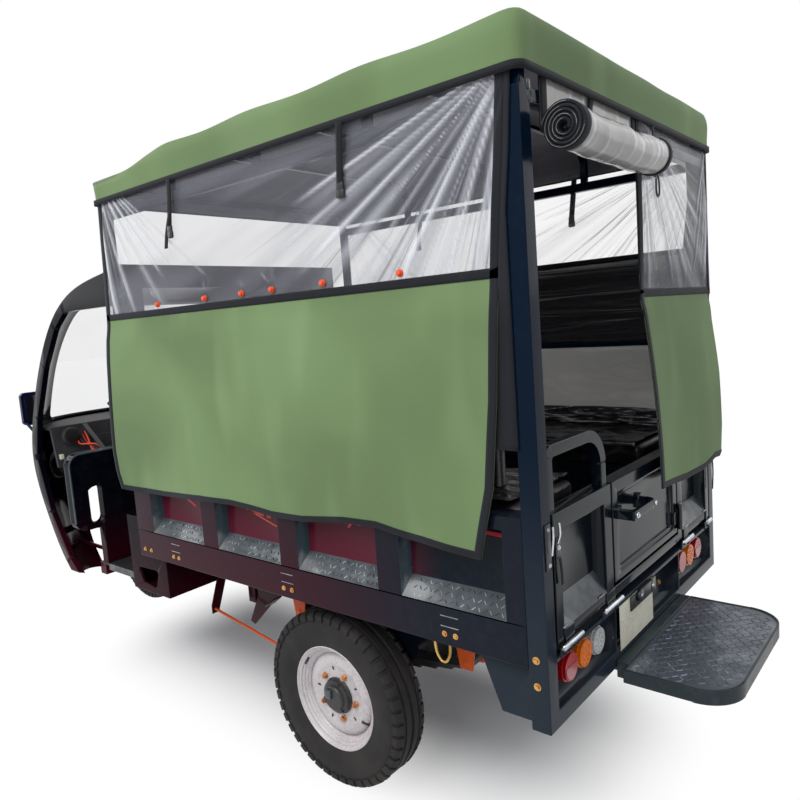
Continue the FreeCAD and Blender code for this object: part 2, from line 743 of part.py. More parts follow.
def door_handle():
    """A flat bow handle that stands out level from the door."""
    left = DOOR_HALF - 32
    right = left - 168
    out = 45.0
    z = DOOR_LOW + 166
    grip = prism_z(rectangle(right, left, -LEAF_THICK, out), z, z + 24, [0, 0, 6, 32])
    inside = rectangle(right + 14, left - 26, -2 * LEAF_THICK, out - 14)
    hole = prism_z(inside, z - OVER, z + 24 + OVER, [0, 0, 4, 18])
    return grip.cut(hole)


def door():
    back = -GATE_THICK
    pieces = [box(-DOOR_HALF, DOOR_HALF, back, 0, DOOR_LOW, GATE_TOP)]
    for margin, depth in ((34, 5), (46, 10)):
        half = DOOR_HALF - margin
        frame = rectangle(-half, half, DOOR_LOW + margin - 14, GATE_TOP - margin)
        pieces[0] = pieces[0].cut(prism_y(frame, -depth, OVER, 10))
    for z in DOOR_HINGES:
        low = z + KNUCKLE + KNUCKLE_GAP
        high = z + 3 * KNUCKLE - KNUCKLE_GAP
        pieces.append(rod((DOOR_HINGE_X, HINGE_Y, low), (DOOR_HINGE_X, HINGE_Y, high), HINGE_RADIUS))
        pieces.append(box(DOOR_HINGE_X, DOOR_HINGE_X + 40, 0, LEAF_THICK, low, high))
    pad = box(DOOR_HALF - 34, DOOR_HALF - 62, -12, 0, DOOR_LOW + 158, DOOR_LOW + 198)
    pad_end = box(DOOR_HALF - 184, DOOR_HALF - 206, -12, 0, DOOR_LOW + 158, DOOR_LOW + 198)
    whole = fuse(pieces + [pad, pad_end, door_handle()])
    for z in DOOR_HINGES:
        start = (DOOR_HINGE_X, HINGE_Y, z)
        whole = whole.cut(rod(start, (DOOR_HINGE_X, HINGE_Y, z + 4 * KNUCKLE), PIN_RADIUS + FIT))
    keep("tailgate_door", whole)


def step():
    """The tread-plate step, with rounded rear corners, on a neck under the bumper rail."""
    half = DIVIDER_X + 30
    top = POST_LOW + 12
    low = top - 38
    front = 25.0
    outline = rectangle(-half, half, front, STEP_REACH)
    plate = prism_z(outline, low, top, [0, 0, 100, 100])
    lip = 6.0
    inside = rectangle(-half + lip, half - lip, front + lip, STEP_REACH - lip)
    plate = plate.cut(prism_z(inside, top - 3, top + OVER, [0, 0, 100 - lip, 100 - lip]))
    hollow = rectangle(-half + lip, half - lip, front + lip, STEP_REACH - lip)
    plate = plate.cut(prism_z(hollow, low - OVER, top - 3 - lip, [0, 0, 100 - lip, 100 - lip]))
    neck = box(-half + 60, half - 60, -POST_DEPTH, front + lip, POST_LOW - 30, POST_LOW - SEAT)
    neck_front = box(-half + 20, half - 20, SEAT, front + lip, low, POST_LOW + 20)
    keep("step_plate", fuse([plate, neck, neck_front]))


# Canopy

BACK_RAIL_Z = GATE_TOP + 289
POST_WIDE = 30.0


def canopy_frame():
    """Front posts, bows and the tubes that carry the roof cover."""
    front = -BED_LENGTH
    inner = BODY_HALF - POST_WIDE
    pieces = both(box(inner, BODY_HALF, front, front + TUBE, GATE_TOP + SEAT, ROOF_TUBE_Z))
    pieces += both(box(inner, BODY_HALF, front + TUBE, -POST_DEPTH, ROOF_TUBE_Z - TUBE, ROOF_TUBE_Z))
    pieces += both(box(inner, BODY_HALF, front + TUBE, -POST_DEPTH, BACK_RAIL_Z, BACK_RAIL_Z + 32))
    bow_thick = 24.0
    pieces.append(bow(front, front + bow_thick, ROOF_DROP))
    for y in [-BED_LENGTH * i / BAYS for i in (3, 2, 1)]:
        pieces.append(bow(y - bow_thick / 2, y + bow_thick / 2))
    keep("canopy_frame", fuse(pieces))


def cover_level(drop, front, rear, z, corner):
    """One level of the roof cover's outline."""
    half = CANOPY_HALF - drop
    corners = rectangle(-half, half, front, rear)
    return rounded_wire([Vector(x, y, z) for x, y in corners], [corner] * 4)


def front_slope(inward):
    """What the roof cover loses where it falls from its second bow to its front edge."""
    top = CANOPY_TOP - inward
    start = -BED_LENGTH * 3 / BAYS - 10
    front = -BED_LENGTH - 30
    low = top - ROOF_DROP
    profile = [(start, top), (front, low), (front - 50, low), (front - 50, top + 50), (start, top + 50)]
    return prism_x(profile, -CANOPY_HALF - OVER, CANOPY_HALF + OVER)


def cover_form(inward):
    """The roof cover's form, or the same form moved inwards."""
    front = -BED_LENGTH - 30 + inward
    rear = 15.0 - inward
    corner = 20.0 - inward
    foot = CANOPY_EDGE - (1 if inward else 0)
    levels = [
        cover_level(inward, front, rear, foot, corner),
        cover_level(6 + inward, front + 6, rear - 6, CANOPY_SIDE - 15, corner),
        cover_level(50 + inward, front + 20, rear - 8, CANOPY_TOP - inward, corner),
    ]
    return Part.makeLoft(levels, True, True).cut(front_slope(inward))


def canopy_roof():
    """The roof cover: a shallow crowned box of cloth, open underneath."""
    keep("canopy_roof", cover_form(0.0).cut(cover_form(FABRIC)))


SEAM_Z = CANOPY_EDGE - 405
REAR_SEAM_Z = CANOPY_EDGE - 465
CURTAIN_TOP = CANOPY_EDGE + 45
CURTAIN_LOW = GATE_TOP - 90
REAR_SPLIT = 0.0
FLARE = 40.0
ROLL_RADIUS = 55.0


def curtains():
    """Side and rear curtains: clear strips above green panels, with one half rolled up."""
    front = -BED_LENGTH - 12
    near = BODY_HALF + SEAT
    far = near + FABRIC
    rear_film = box(-CANOPY_HALF + 25, -REAR_SPLIT, SEAT, SEAT + FABRIC, REAR_SEAM_Z + SEAT, CURTAIN_TOP)
    side_films = both(box(near, far, front, -40, SEAM_Z + SEAT, CURTAIN_TOP))
    keep("curtain_windows", [rear_film] + side_films)
    keep("side_curtains", both(box(near, far, front, -60, CURTAIN_LOW, SEAM_Z)))
    foot = GATE_TOP - 85
    hung = [(SEAT, REAR_SEAM_Z), (SEAT + FABRIC, REAR_SEAM_Z), (FLARE + FABRIC, foot), (FLARE, foot)]
    keep("rear_curtain", prism_x(hung, -CANOPY_HALF, -REAR_SPLIT))
    left = BODY_HALF - POST - 39
    right = 20.0 - REAR_SPLIT
    roll_z = CURTAIN_TOP - 155
    roll = rod((right, SEAT + ROLL_RADIUS, roll_z), (left, SEAT + ROLL_RADIUS, roll_z), ROLL_RADIUS)
    strip = box(right, left, SEAT, SEAT + FABRIC, roll_z, CURTAIN_TOP)
    keep("rear_curtain_roll", fuse([roll, strip]))


# Passenger benches

BENCH_TOP = FLOOR_TOP + 255
BENCH_FRONT = 240.0
BENCH_WALL = 15.0
CUSHION = 55.0
BACK_THICK = 32.0


def benches():
    front = -BED_LENGTH + 60
    rear = -110.0
    wall = BODY_HALF - SIDE_THICK - 2
    base = box(BENCH_FRONT, wall, front, rear, FLOOR_TOP, BENCH_TOP)
    near = BENCH_FRONT + BENCH_WALL
    far = wall - BENCH_WALL
    hollow = box(near, far, front + BENCH_WALL, rear - BENCH_WALL, FLOOR_TOP - 1, BENCH_TOP - BENCH_WALL)
    keep("benches", both(base.cut(hollow)))
    pad = rectangle(BENCH_FRONT, wall, front, rear)
    keep("bench_cushions", both(prism_z(pad, BENCH_TOP + SEAT, BENCH_TOP + CUSHION, 25)))
    rest = BODY_HALF - POST_WIDE - SEAT
    keep("bench_backs", both(box(rest - BACK_THICK, rest, front, rear, BENCH_TOP + 100, BACK_RAIL_Z + 16)))


# Cab

CAB_HALF = BODY_HALF - 69
CAB_REAR = -BED_LENGTH - 32
CAB_WALL = 25.0
COWL_Z = 1030.0
NOSE_BOW = 140.0  # the nose's middle ahead of its sides
BOW_FADE = 350.0  # height below the roof at which the bow is whole
CORNER_BOW = 155.0  # how far each side sweeps back round the corner
CORNER_START = 0.55  # share of the half width where the sweep begins
SECTION_SHARES = (-1.0, -0.9, -0.75, -0.55, 0.0, 0.55, 0.75, 0.9, 1.0)
# The side outline: ahead of the front axle, then the height, a share from cowl to roof above the cowl.
SCREEN_LINE = ((-603, 0.952), (-379, 0.872), (-207, 0.720), (-52, 0.460), (92, 0.092))
NOSE_LINE = ((NOSE_AHEAD - NOSE_BOW, 887), (72, 615), (-63, 405), (-190, 300))
DOOR_TOP = 0.777
DOOR_TOP_LINE = ((-497, DOOR_TOP), (-391, 0.677), (-243, 0.421), (-104, 0.065))
DOOR_LOW_LINE = ((-46, 887), (-125, 630), (-258, 428), (-350, 350), (-470, 250))
ARCH_HALF = 265.0
ARCH_FOOT = 385.0
ARCH_TOP = 640.0
FOOT_RISE = 68.0  # the nose's lower edge rises by this much towards each side
BACK_WALL = 12.0
BACK_TOP = 1240.0
PILLAR_X = (CAB_HALF - 80, CAB_HALF - 12)
SCREEN_SILL = COWL_Z + 8
SCREEN_TOP = 0.82
HEADLAMP_X = CAB_HALF - 190
HEADLAMP_Z = 800.0
HEADLAMP_RADIUS = 70.0
SEAT_BOX_TOP = BED_LOW + 130


def cab_height(share):
    return COWL_Z + share * (CAB_ROOF - COWL_Z)


def upper_points(line):
    return [(FRONT_Y - ahead, cab_height(share)) for ahead, share in line]


def lower_points(line):
    return [(FRONT_Y - ahead, z) for ahead, z in line]


def inset(points, distance):
    """An open profile moved inwards, each point along the bisector of its neighbours."""
    moved = []
    last = len(points) - 1
    for i, (y, z) in enumerate(points):
        y0, z0 = points[max(i - 1, 0)]
        y1, z1 = points[min(i + 1, last)]
        run = math.hypot(y1 - y0, z1 - z0)
        moved.append((y - (z1 - z0) / run * distance, z + (y1 - y0) / run * distance))
    return moved


def cab_section(x, distance, back):
    """The cab's side outline at one distance from the middle; an inner one runs on below the outer."""
    share = min(abs(x) / (CAB_HALF - distance), 1.0)
    ahead = NOSE_BOW * (1 - share ** 2)
    behind = CORNER_BOW * (max(0.0, share - CORNER_START) / (1 - CORNER_START)) ** 2
    outline = [(CAB_REAR, CAB_ROOF)] + upper_points(SCREEN_LINE) + lower_points(NOSE_LINE)
    points = [Vector(x, y - ahead * forward_share(z) + behind, z) for y, z in inset(outline, distance)]
    points[0].y = back
    if distance:
        points.append(points[-1] * 2 - points[-2])
    curve = Part.BSplineCurve()
    curve.interpolate(points)
    low = Vector(x, back, points[-1].z)
    closing = [Part.LineSegment(points[-1], low).toShape(), Part.LineSegment(low, points[0]).toShape()]
    return Part.Wire([curve.toShape()] + closing)


def forward_share(z):
    """How much of the nose's bow a height gets: none along the roof, all at the nose."""
    return min(1.0, max(0.0, (CAB_ROOF - z) / BOW_FADE))


def cab_body(distance, back):
    """The cab's bowed outer form, or the same form moved inwards."""
    half = CAB_HALF - distance
    return Part.makeLoft([cab_section(half * s, distance, back) for s in SECTION_SHARES], True, False)


def door_opening():
    """The open side of the cab, inside its roof rail, pillar and front edge."""
    rear = CAB_REAR + 60
    profile = [(rear, cab_height(DOOR_TOP))] + upper_points(DOOR_TOP_LINE) + lower_points(DOOR_LOW_LINE)
    wide = CAB_HALF + 60
    return prism_x(profile + [(rear, DOOR_LOW_LINE[-1][1])], -wide, wide, 45)


def screen_opening():
    """The windscreen's outline, seen from ahead."""
    top = cab_height(SCREEN_TOP)
    wide = CAB_HALF - 146
    narrow = CAB_HALF - 138
    outline = [(-wide, SCREEN_SILL), (wide, SCREEN_SILL), (narrow, top), (-narrow, top)]
    return prism_y(outline, FRONT_Y - NOSE_AHEAD - OVER, FRONT_Y + 500, 40)


def headlamp_rod(start, end, radius):
    return both(rod((HEADLAMP_X, start, HEADLAMP_Z), (HEADLAMP_X, end, HEADLAMP_Z), radius))


def dash(inner):
    """The dash: a shelf behind the windscreen that folds down towards the driver."""
    top = COWL_Z - 6
    sheet = 14.0
    rear = FRONT_Y + 130
    fold = [
        (FRONT_Y - NOSE_AHEAD, top),
        (rear, top),
        (rear + 40, top - 185),
        (rear + 26, top - 190),
        (rear - 12, top - sheet),
        (FRONT_Y - NOSE_AHEAD, top - sheet),
    ]
    half = CAB_HALF - 40
    return inner.common(prism_x(fold, -half, half))


def wheel_arch(front, rear):
    outline = [(-ARCH_FOOT, 200), (ARCH_FOOT, 200), (ARCH_HALF, ARCH_TOP), (-ARCH_HALF, ARCH_TOP)]
    return prism_y(outline, front, rear, [0, 0, 100, 100])


def foot_slope(front, rear):
    """What the nose's lower edge loses beside the wheel arch, more of it towards the side."""
    low = NOSE_LINE[-1][1]
    high = low + FOOT_RISE
    inner = ARCH_HALF + 80
    outer = CAB_HALF + OVER
    outline = [(inner, low - OVER), (inner, low), (CAB_HALF, high), (outer, high), (outer, low - OVER)]
    return prism_y(outline, front, rear)


def cab():
    outer = cab_body(0.0, CAB_REAR)
    inner = cab_body(CAB_WALL, CAB_REAR + POST_DEPTH)
    shell = outer.cut(inner).cut(door_opening())
    nose = FRONT_Y - NOSE_AHEAD - 100
    rear = CAB_REAR + POST_DEPTH
    wide = CAB_HALF + 200
    lower = shell.common(box(-wide, wide, nose, rear, 200, COWL_Z)).cut(wheel_arch(nose, FRONT_Y + 450))
    for slope in both(foot_slope(nose, rear)):
        lower = lower.cut(slope)
    upper = shell.common(box(-wide, wide, nose, rear, COWL_Z, CAB_ROOF + 100))
    screen = screen_opening()
    glass = cab_body(8.0, CAB_REAR).cut(cab_body(13.0, CAB_REAR + POST_DEPTH)).common(screen)
    near, far = PILLAR_X
    frame = [upper.cut(screen)]
    frame += both(box(near, far, CAB_REAR, CAB_REAR - 60, SEAT_BOX_TOP, CAB_ROOF - 30))
    frame.append(box(-near, near, CAB_REAR, CAB_REAR - 30, CAB_ROOF - 90, CAB_ROOF - 20))
    frame.append(box(-near, near, CAB_REAR, CAB_REAR - BACK_WALL, SEAT_BOX_TOP, BACK_TOP))
    keep("cab_frame", fuse(frame))
    keep("windscreen", glass)
    keep("dash_panel", dash(inner))
    wall = outer.cut(inner)
    keep("headlamps", [lens.common(wall) for lens in headlamp_rod(nose, FRONT_Y - 80, HEADLAMP_RADIUS)])
    for socket in headlamp_rod(nose - OVER, FRONT_Y + 50, HEADLAMP_RADIUS + SEAT):
        lower = lower.cut(socket)
    keep("front_fairing", lower)


# Cab floor and seat

SEAT_BOX_FRONT = -BED_LENGTH - 151
SEAT_BOX_REAR = -BED_LENGTH + 104
SEAT_BOX_HALF = BODY_HALF - 39
SEAT_BOX_WALL = 12.0
SEAT_BOX_LOW = CAB_FLOOR - 10
SEAT_LIP = 150.0
FLOOR_HALF = BODY_HALF - 119
SHIELD_HALF = BODY_HALF + 3
SHIELD_TOP = 938.0
SHIELD_FOOT = 600.0
BRACKET_BARS = ((600, 100, 485, 16), (485, 55, 440, 9))  # height, drop, reach ahead and radius
DRIVER_HALF = 330.0


def seat_box():
    """The hollow riser under the driver's seat, with a side box under the bed's front end."""
    half = SEAT_BOX_HALF
    wall = SEAT_BOX_WALL
    bed_front = -BED_LENGTH - SEAT
    bed_low = BED_LOW - SEAT
    shell = box(-half, half, SEAT_BOX_FRONT, SEAT_BOX_REAR, SEAT_BOX_LOW, SEAT_BOX_TOP)
    inside = rectangle(-half + wall, half - wall, SEAT_BOX_FRONT + wall, SEAT_BOX_REAR - wall)
    shell = shell.cut(prism_z(inside, SEAT_BOX_LOW + wall, SEAT_BOX_TOP - wall))
    over = half + 10
    shell = shell.cut(box(-over, over, bed_front, SEAT_BOX_REAR + 10, bed_low, SEAT_BOX_TOP + OVER))
    cap = box(-half, half, bed_front - wall, SEAT_BOX_REAR, bed_low - wall, bed_low)
    back = box(-half, half, bed_front - wall, bed_front, bed_low - wall, SEAT_BOX_TOP)
    lip_half = DRIVER_HALF - 10
    lip_front = SEAT_BOX_FRONT - SEAT_LIP
    lip = box(-lip_half, lip_half, SEAT_BOX_FRONT, lip_front, SEAT_BOX_TOP - 25, SEAT_BOX_TOP)
    whole = fuse([shell, cap, back, lip])
    window = [
        (SEAT_BOX_FRONT + 47, 513),
        (SEAT_BOX_FRONT + 192, 517),
        (SEAT_BOX_FRONT + 166, 445),
        (SEAT_BOX_FRONT + 77, 454),
    ]
    for sign in (-1, 1):
        whole = whole.cut(prism_x(window, sign * (half - 30), sign * (half + 30), 8))
    keep("seat_box", whole)
    battery_top = BED_LOW - 30
    wide = half - 170
    battery = box(-wide, wide, SEAT_BOX_FRONT + 25, SEAT_BOX_REAR - 25, SEAT_BOX_LOW + wall, battery_top)
    keep("battery_pack", battery)


def cab_floor():
    """The flat floor plate, with a skirt down each side that deepens towards the seat."""
    rear = SEAT_BOX_FRONT - SEAT
    front = SHIELD_Y - SHIELD_THICK
    plate = box(-FLOOR_HALF, FLOOR_HALF, front, rear, CAB_FLOOR - 10, CAB_FLOOR)
    low = CAB_FLOOR - 45
    skirt = [
        (SHIELD_Y, CAB_FLOOR),
        (SHIELD_Y, CAB_FLOOR - 30),
        (rear - 150, CAB_FLOOR - 30),
        (rear - 110, low),
        (rear, low),
        (rear, CAB_FLOOR),
    ]
    keep("cab_floor", fuse([plate] + both(prism_x(skirt, FLOOR_HALF - 5, FLOOR_HALF))))


def leg_shield():
    """The upright panel ahead of the driver's legs, its brackets to the nose and a stay to the dash."""
    back = SHIELD_Y - SHIELD_THICK
    panel = prism_y(rectangle(-SHIELD_HALF, SHIELD_HALF, SHIELD_FOOT, SHIELD_TOP), SHIELD_Y, back, 50)
    body = box(-FLOOR_HALF, FLOOR_HALF, SHIELD_Y, back, CAB_FLOOR, SHIELD_FOOT + 100)
    shield = fuse([panel, body])
    slot = rectangle(BODY_HALF - 129, BODY_HALF - 69, SHIELD_FOOT + 20, SHIELD_FOOT + 200)
    bracket_x = FLOOR_HALF - 18
    for cutter in both(prism_y(slot, SHIELD_Y + OVER, back - OVER, 28)):
        shield = shield.cut(cutter)
    pieces = [shield]
    for z, drop, reach, thick in BRACKET_BARS:
        pieces += both(rod((bracket_x, back + 10, z), (bracket_x - 90, back - reach, z - drop), thick))
    x = BODY_HALF - 160
    wide = 23.0
    near = Vector(x, SHIELD_Y - 20, SHIELD_TOP - 6)
    far = Vector(x - 98, FRONT_Y + 138, COWL_Z - 12)
    across = Vector(wide, 0, 0)
    strip = [near, near - across, far - across, far]
    stay = Part.Face(polygon_wire(strip)).extrude(Vector(0, 0, 4))
    return fuse(pieces + [stay])


def driver_seat():
    front = SEAT_BOX_FRONT - SEAT_LIP - 9
    rear = CAB_REAR - 23
    base = rectangle(-DRIVER_HALF, DRIVER_HALF, front, rear)
    keep("driver_seat", prism_z(base, SEAT_BOX_TOP + SEAT, SEAT_BOX_TOP + 90, 40))
    rest = rectangle(-DRIVER_HALF + 30, DRIVER_HALF - 30, BACK_TOP - 380, BACK_TOP - 80)
    near = CAB_REAR - BACK_WALL - SEAT
    keep("driver_backrest", prism_y(rest, near, CAB_REAR - BACK_WALL - CUSHION, 50))


def cab_inside():
    seat_box()
    cab_floor()
    fairing = nodes["front_fairing"][0]
    shield = leg_shield().cut(fairing).cut(nodes["dash_panel"][0])
    keep("leg_shield", shield.Solids[0] if len(shield.Solids) == 1 else shield.Solids)
    driver_seat()


# Steering

CROWN_LOW = HEAD_LOW - 26
CROWN_HIGH = HEAD_HIGH + 4
LEG_X = 95.0
LEG_LOW_RADIUS = 26.0
LEG_RADIUS = 19.0
STEM_TOP = 885.0
BAR_HALF = 210.0
BAR_RADIUS = 14.0
GRIP_REACH = 130.0
GUARD_GAP = 22.0
GUARD_SHEET = 4.0


def plate_on_axis(along, thick, half, ahead0, ahead1):
    """A flat plate square to the steering axis."""
    across = Vector(half, 0, 0)
    rear = steering_point(along, ahead0)
    front = steering_point(along, ahead1)
    up = steering_point(along + thick) - steering_point(along)
    return prism([rear - across, rear + across, front + across, front - across], up, 20)


def fork():
    """Crown plates, stem and telescopic legs, with the wheel's spindle between the legs."""
    yoke = LEG_X + 28
    pieces = [
        plate_on_axis(CROWN_LOW, 20, yoke, -28, FORK_OFFSET + 28),
        plate_on_axis(CROWN_HIGH, 16, yoke, -28, FORK_OFFSET + 28),
    ]
    for sign in (-1, 1):
        side = Vector(sign * LEG_X, 0, 0)
        foot = steering_point(-25, FORK_OFFSET) + side
        mid = steering_point(230, FORK_OFFSET) + side
        top = steering_point(CROWN_HIGH + 16, FORK_OFFSET) + side
        pieces.append(rod(foot, mid, LEG_LOW_RADIUS))
        pieces.append(rod(mid, top, LEG_RADIUS))
    pieces.append(rod(steering_point(CROWN_LOW + 10), steering_point(STEM_TOP), STEM_RADIUS))
    spindle_half = HUB_HALF + 8
    pieces.append(rod((-LEG_X, FRONT_Y, FRONT_AXLE_Z), (LEG_X, FRONT_Y, FRONT_AXLE_Z), 12))
    hub = ((-spindle_half, FRONT_Y, FRONT_AXLE_Z), (spindle_half, FRONT_Y, FRONT_AXLE_Z))
    pieces.append(rod(*hub, STUB_RADIUS))
    return fuse(pieces)


def handlebar():
    middle = steering_point(STEM_TOP)
    pieces = [rod((-BAR_HALF, middle.y, middle.z), (BAR_HALF, middle.y, middle.z), BAR_RADIUS)]
    for sign in (-1, 1):
        bend = Vector(sign * BAR_HALF, middle.y, middle.z)
        pieces.append(rod(bend, bend + Vector(sign * GRIP_REACH, 70, 0), BAR_RADIUS - 3))
        pieces.append(Part.makeSphere(BAR_RADIUS, bend))
    return fuse(pieces)


def front_mudguard():
    """An arc of sheet over the front wheel, on a stay between the fork's legs."""
    outer = FRONT_TYRE_DIAMETER / 2 + GUARD_GAP
    half = FRONT_TYRE_WIDTH / 2 + 6
    top = FRONT_AXLE_Z + outer
    corners = rectangle(-half, half, top - GUARD_SHEET, top)
    face = Part.Face(polygon_wire([Vector(x, FRONT_Y, z) for x, z in corners]))
    centre = Vector(0, FRONT_Y, FRONT_AXLE_Z)
    face.rotate(centre, Vector(1, 0, 0), -75)
    guard = face.revolve(centre, Vector(1, 0, 0), 145)
    stay = rod((-LEG_X, 0, 0), (LEG_X, 0, 0), 6)
    stay.translate(steering_point(outer + GUARD_SHEET, FORK_OFFSET))
    return fuse([guard, stay])


def steering():
    legs = fork()
    keep("fork", legs)
    keep("handlebar", handlebar().cut(legs))
    keep("front_mudguard", front_mudguard().cut(legs))


def mirrors():
    """Rear-view mirrors on stalks that stand on the cowl."""
    x0 = CAB_HALF - 182
    x1 = CAB_HALF - 52
    low = COWL_Z - 12
    y = FRONT_Y - 185
    head = prism_y(rectangle(x0, x1, low, low + 165), y - 24, y, 22)
    stalk = rod((x1 - 20, y - 12, low + 8), (x1 - 40, FRONT_Y - 70, low - 90), 7)
    body = cab_body(0.0, CAB_REAR)
    keep("mirrors", both(fuse([head, stalk]).cut(body)))


# The whole vehicle

wheels()
chassis()
running_gear()
bed()
rear_frame()
lamps()
gate()
door()
step()
canopy_frame()
canopy_roof()
curtains()
benches()
cab()
cab_inside()
steering()
mirrors()

os.makedirs("parts", exist_ok=True)
nose_reach = NOSE_AHEAD - FRONT_Y
row_shift = Vector(0, (nose_reach - STEP_REACH) / 2, 0)
for name, solids in nodes.items():
    whole = solids[0] if len(solids) == 1 else Part.makeCompound(solids)
    whole.translate(row_shift)
    whole.exportStep("parts/" + name + ".step")
    good = all(s.isValid() for s in whole.Solids)
    b = whole.BoundBox
    local = (b.XMin, b.XMax, b.YMin - row_shift.y, b.YMax - row_shift.y, b.ZMin, b.ZMax)
    extent = [round(v) for v in local]
    print(name, len(whole.Solids), "ok" if good else "INVALID", round(whole.Volume / 1e6, 2), extent)
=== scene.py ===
# %% [markdown]
# # An electric three-wheeler with a canvas canopy
# The lesson dresses a model that was drawn as solids. The hard parts keep their drawn shapes and
# get paint, rounded edges and fasteners. The cloth, the clear film, the tyres and the cushions are
# made again here, because a solid can only stand in for them.

# %% Load the frame
import math
import random

import bmesh
import bpy
from mathutils import Matrix, Vector, noise
from mathutils.bvhtree import BVHTree
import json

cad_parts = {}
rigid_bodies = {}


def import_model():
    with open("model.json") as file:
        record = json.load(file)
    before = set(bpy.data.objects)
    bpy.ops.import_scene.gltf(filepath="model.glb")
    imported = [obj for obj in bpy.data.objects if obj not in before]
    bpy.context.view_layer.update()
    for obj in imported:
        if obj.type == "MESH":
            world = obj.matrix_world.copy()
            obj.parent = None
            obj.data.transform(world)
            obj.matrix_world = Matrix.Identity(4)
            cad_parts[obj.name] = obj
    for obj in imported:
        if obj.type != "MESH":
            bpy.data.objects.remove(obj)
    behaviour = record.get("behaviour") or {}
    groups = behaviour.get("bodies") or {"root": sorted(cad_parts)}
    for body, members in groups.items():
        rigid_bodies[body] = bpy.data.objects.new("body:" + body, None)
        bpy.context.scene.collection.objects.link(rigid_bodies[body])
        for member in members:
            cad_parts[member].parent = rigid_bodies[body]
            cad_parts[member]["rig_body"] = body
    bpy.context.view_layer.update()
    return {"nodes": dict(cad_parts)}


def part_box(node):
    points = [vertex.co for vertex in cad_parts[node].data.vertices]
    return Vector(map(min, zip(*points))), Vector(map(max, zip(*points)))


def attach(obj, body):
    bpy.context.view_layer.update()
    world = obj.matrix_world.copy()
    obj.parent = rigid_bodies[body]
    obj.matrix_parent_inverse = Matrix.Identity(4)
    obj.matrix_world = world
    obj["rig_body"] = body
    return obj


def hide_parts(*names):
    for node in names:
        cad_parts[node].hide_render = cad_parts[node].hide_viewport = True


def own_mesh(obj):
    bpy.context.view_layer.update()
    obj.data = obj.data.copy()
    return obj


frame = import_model()
NODES = frame["nodes"]

# %% [markdown]
# ## One place to measure from
# The maker measures everything from the rear face of the corner posts. The bed's side beams end one
# post's depth ahead of that face, so the face is found from them, and a point is written as
# (across, back, up) with the face at zero. Left is positive, and so is the way to the rear.

# %% The measuring point
POST_DEPTH = 0.05
REAR_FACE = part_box("side_beams")[1].y + POST_DEPTH


def at(x, y, z):
    """A point measured from the posts' rear face, as a vector in the frame."""
    return Vector((x, y + REAR_FACE, z))


def path(rows, sign=1):
    """Several such points, mirrored to the right where sign is -1."""
    return [at(sign * x, y, z) for x, y, z in rows]


def span(node):
    """A node's lowest and highest corners, measured from the posts' rear face."""
    low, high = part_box(node)
    shift = Vector((0, REAR_FACE, 0))
    return low - shift, high - shift


print("rear face at", round(REAR_FACE, 4))

# %% [markdown]
# ## The camera
# A camera is placed by where it stands and by three turns. Blender's camera looks along its own
# minus Z, so the matrix is made of its right, up and backward directions. The lens goes with a
# sensor 36 mm wide and a square picture.

# %% The camera
EYE = Vector((1.951, 2.1075, 1.4029))
YAW = 3.8405
PITCH = -0.1124
ROLL = -0.0729
LENS = 31.41


def camera_matrix(eye, yaw, pitch, roll):
    ahead = Vector((math.cos(pitch) * math.cos(yaw), math.cos(pitch) * math.sin(yaw), math.sin(pitch)))
    right = ahead.cross(Vector((0, 0, 1))).normalized()
    up = right.cross(ahead)
    right_rolled = right * math.cos(roll) + up * math.sin(roll)
    up_rolled = up * math.cos(roll) - right * math.sin(roll)
    turn = Matrix((right_rolled, up_rolled, -ahead)).transposed()
    return Matrix.Translation(eye) @ turn.to_4x4()


camera = bpy.data.objects.new("camera", bpy.data.cameras.new("camera"))
camera.data.lens = LENS
camera.data.sensor_width = 36.0
camera.data.clip_end = 200.0
camera.matrix_world = camera_matrix(EYE, YAW, PITCH, ROLL)
bpy.context.scene.collection.objects.link(camera)
bpy.context.scene.camera = camera

# %% [markdown]
# ## Writing a material as sums
# A node tree is easier to read when it looks like arithmetic. `Wire` holds one output socket, and
# adding or multiplying wires adds the Math nodes. `Finish` holds a material, its main shader and
# one method that adds any other node. Colours are written as a screen shows them, from 0 to 255.

# %% Wires and finishes
def shade(red, green, blue):
    """A screen colour of 0 to 255 as the linear colour that a shader takes."""
    shares = (red / 255, green / 255, blue / 255)
    return tuple(c / 12.92 if c < 0.04 else ((c + 0.055) / 1.055) ** 2.4 for c in shares)


def sum_of(operation):
    """A method that puts a Math node between a wire and another value."""
    def method(self, other=0):
        return self.math(operation, self, other)
    return method


class Wire:
    """A number that comes out of a node, and can be used in sums."""

    def __init__(self, tree, socket):
        self.tree = tree
        self.socket = socket

    def math(self, operation, first, second):
        return self.tree.node("ShaderNodeMath", {0: first, 1: second}, operation=operation)

    __add__ = __radd__ = sum_of("ADD")
    __sub__ = sum_of("SUBTRACT")
    __mul__ = sum_of("MULTIPLY")
    __pow__ = sum_of("POWER")
    most = sum_of("MAXIMUM")
    sine = sum_of("SINE")
    size = sum_of("ABSOLUTE")

    def __rsub__(self, other):
        return self.math("SUBTRACT", other, self)

    def ramp(self, low, high):
        """0 below low, 1 above high, and smooth between; the other way round where low is the larger."""
        rises = float(low < high)
        values = {0: self, 1: min(low, high), 2: max(low, high), 3: 1.0 - rises, 4: rises}
        return self.tree.node("ShaderNodeMapRange", values, interpolation_type="SMOOTHSTEP")


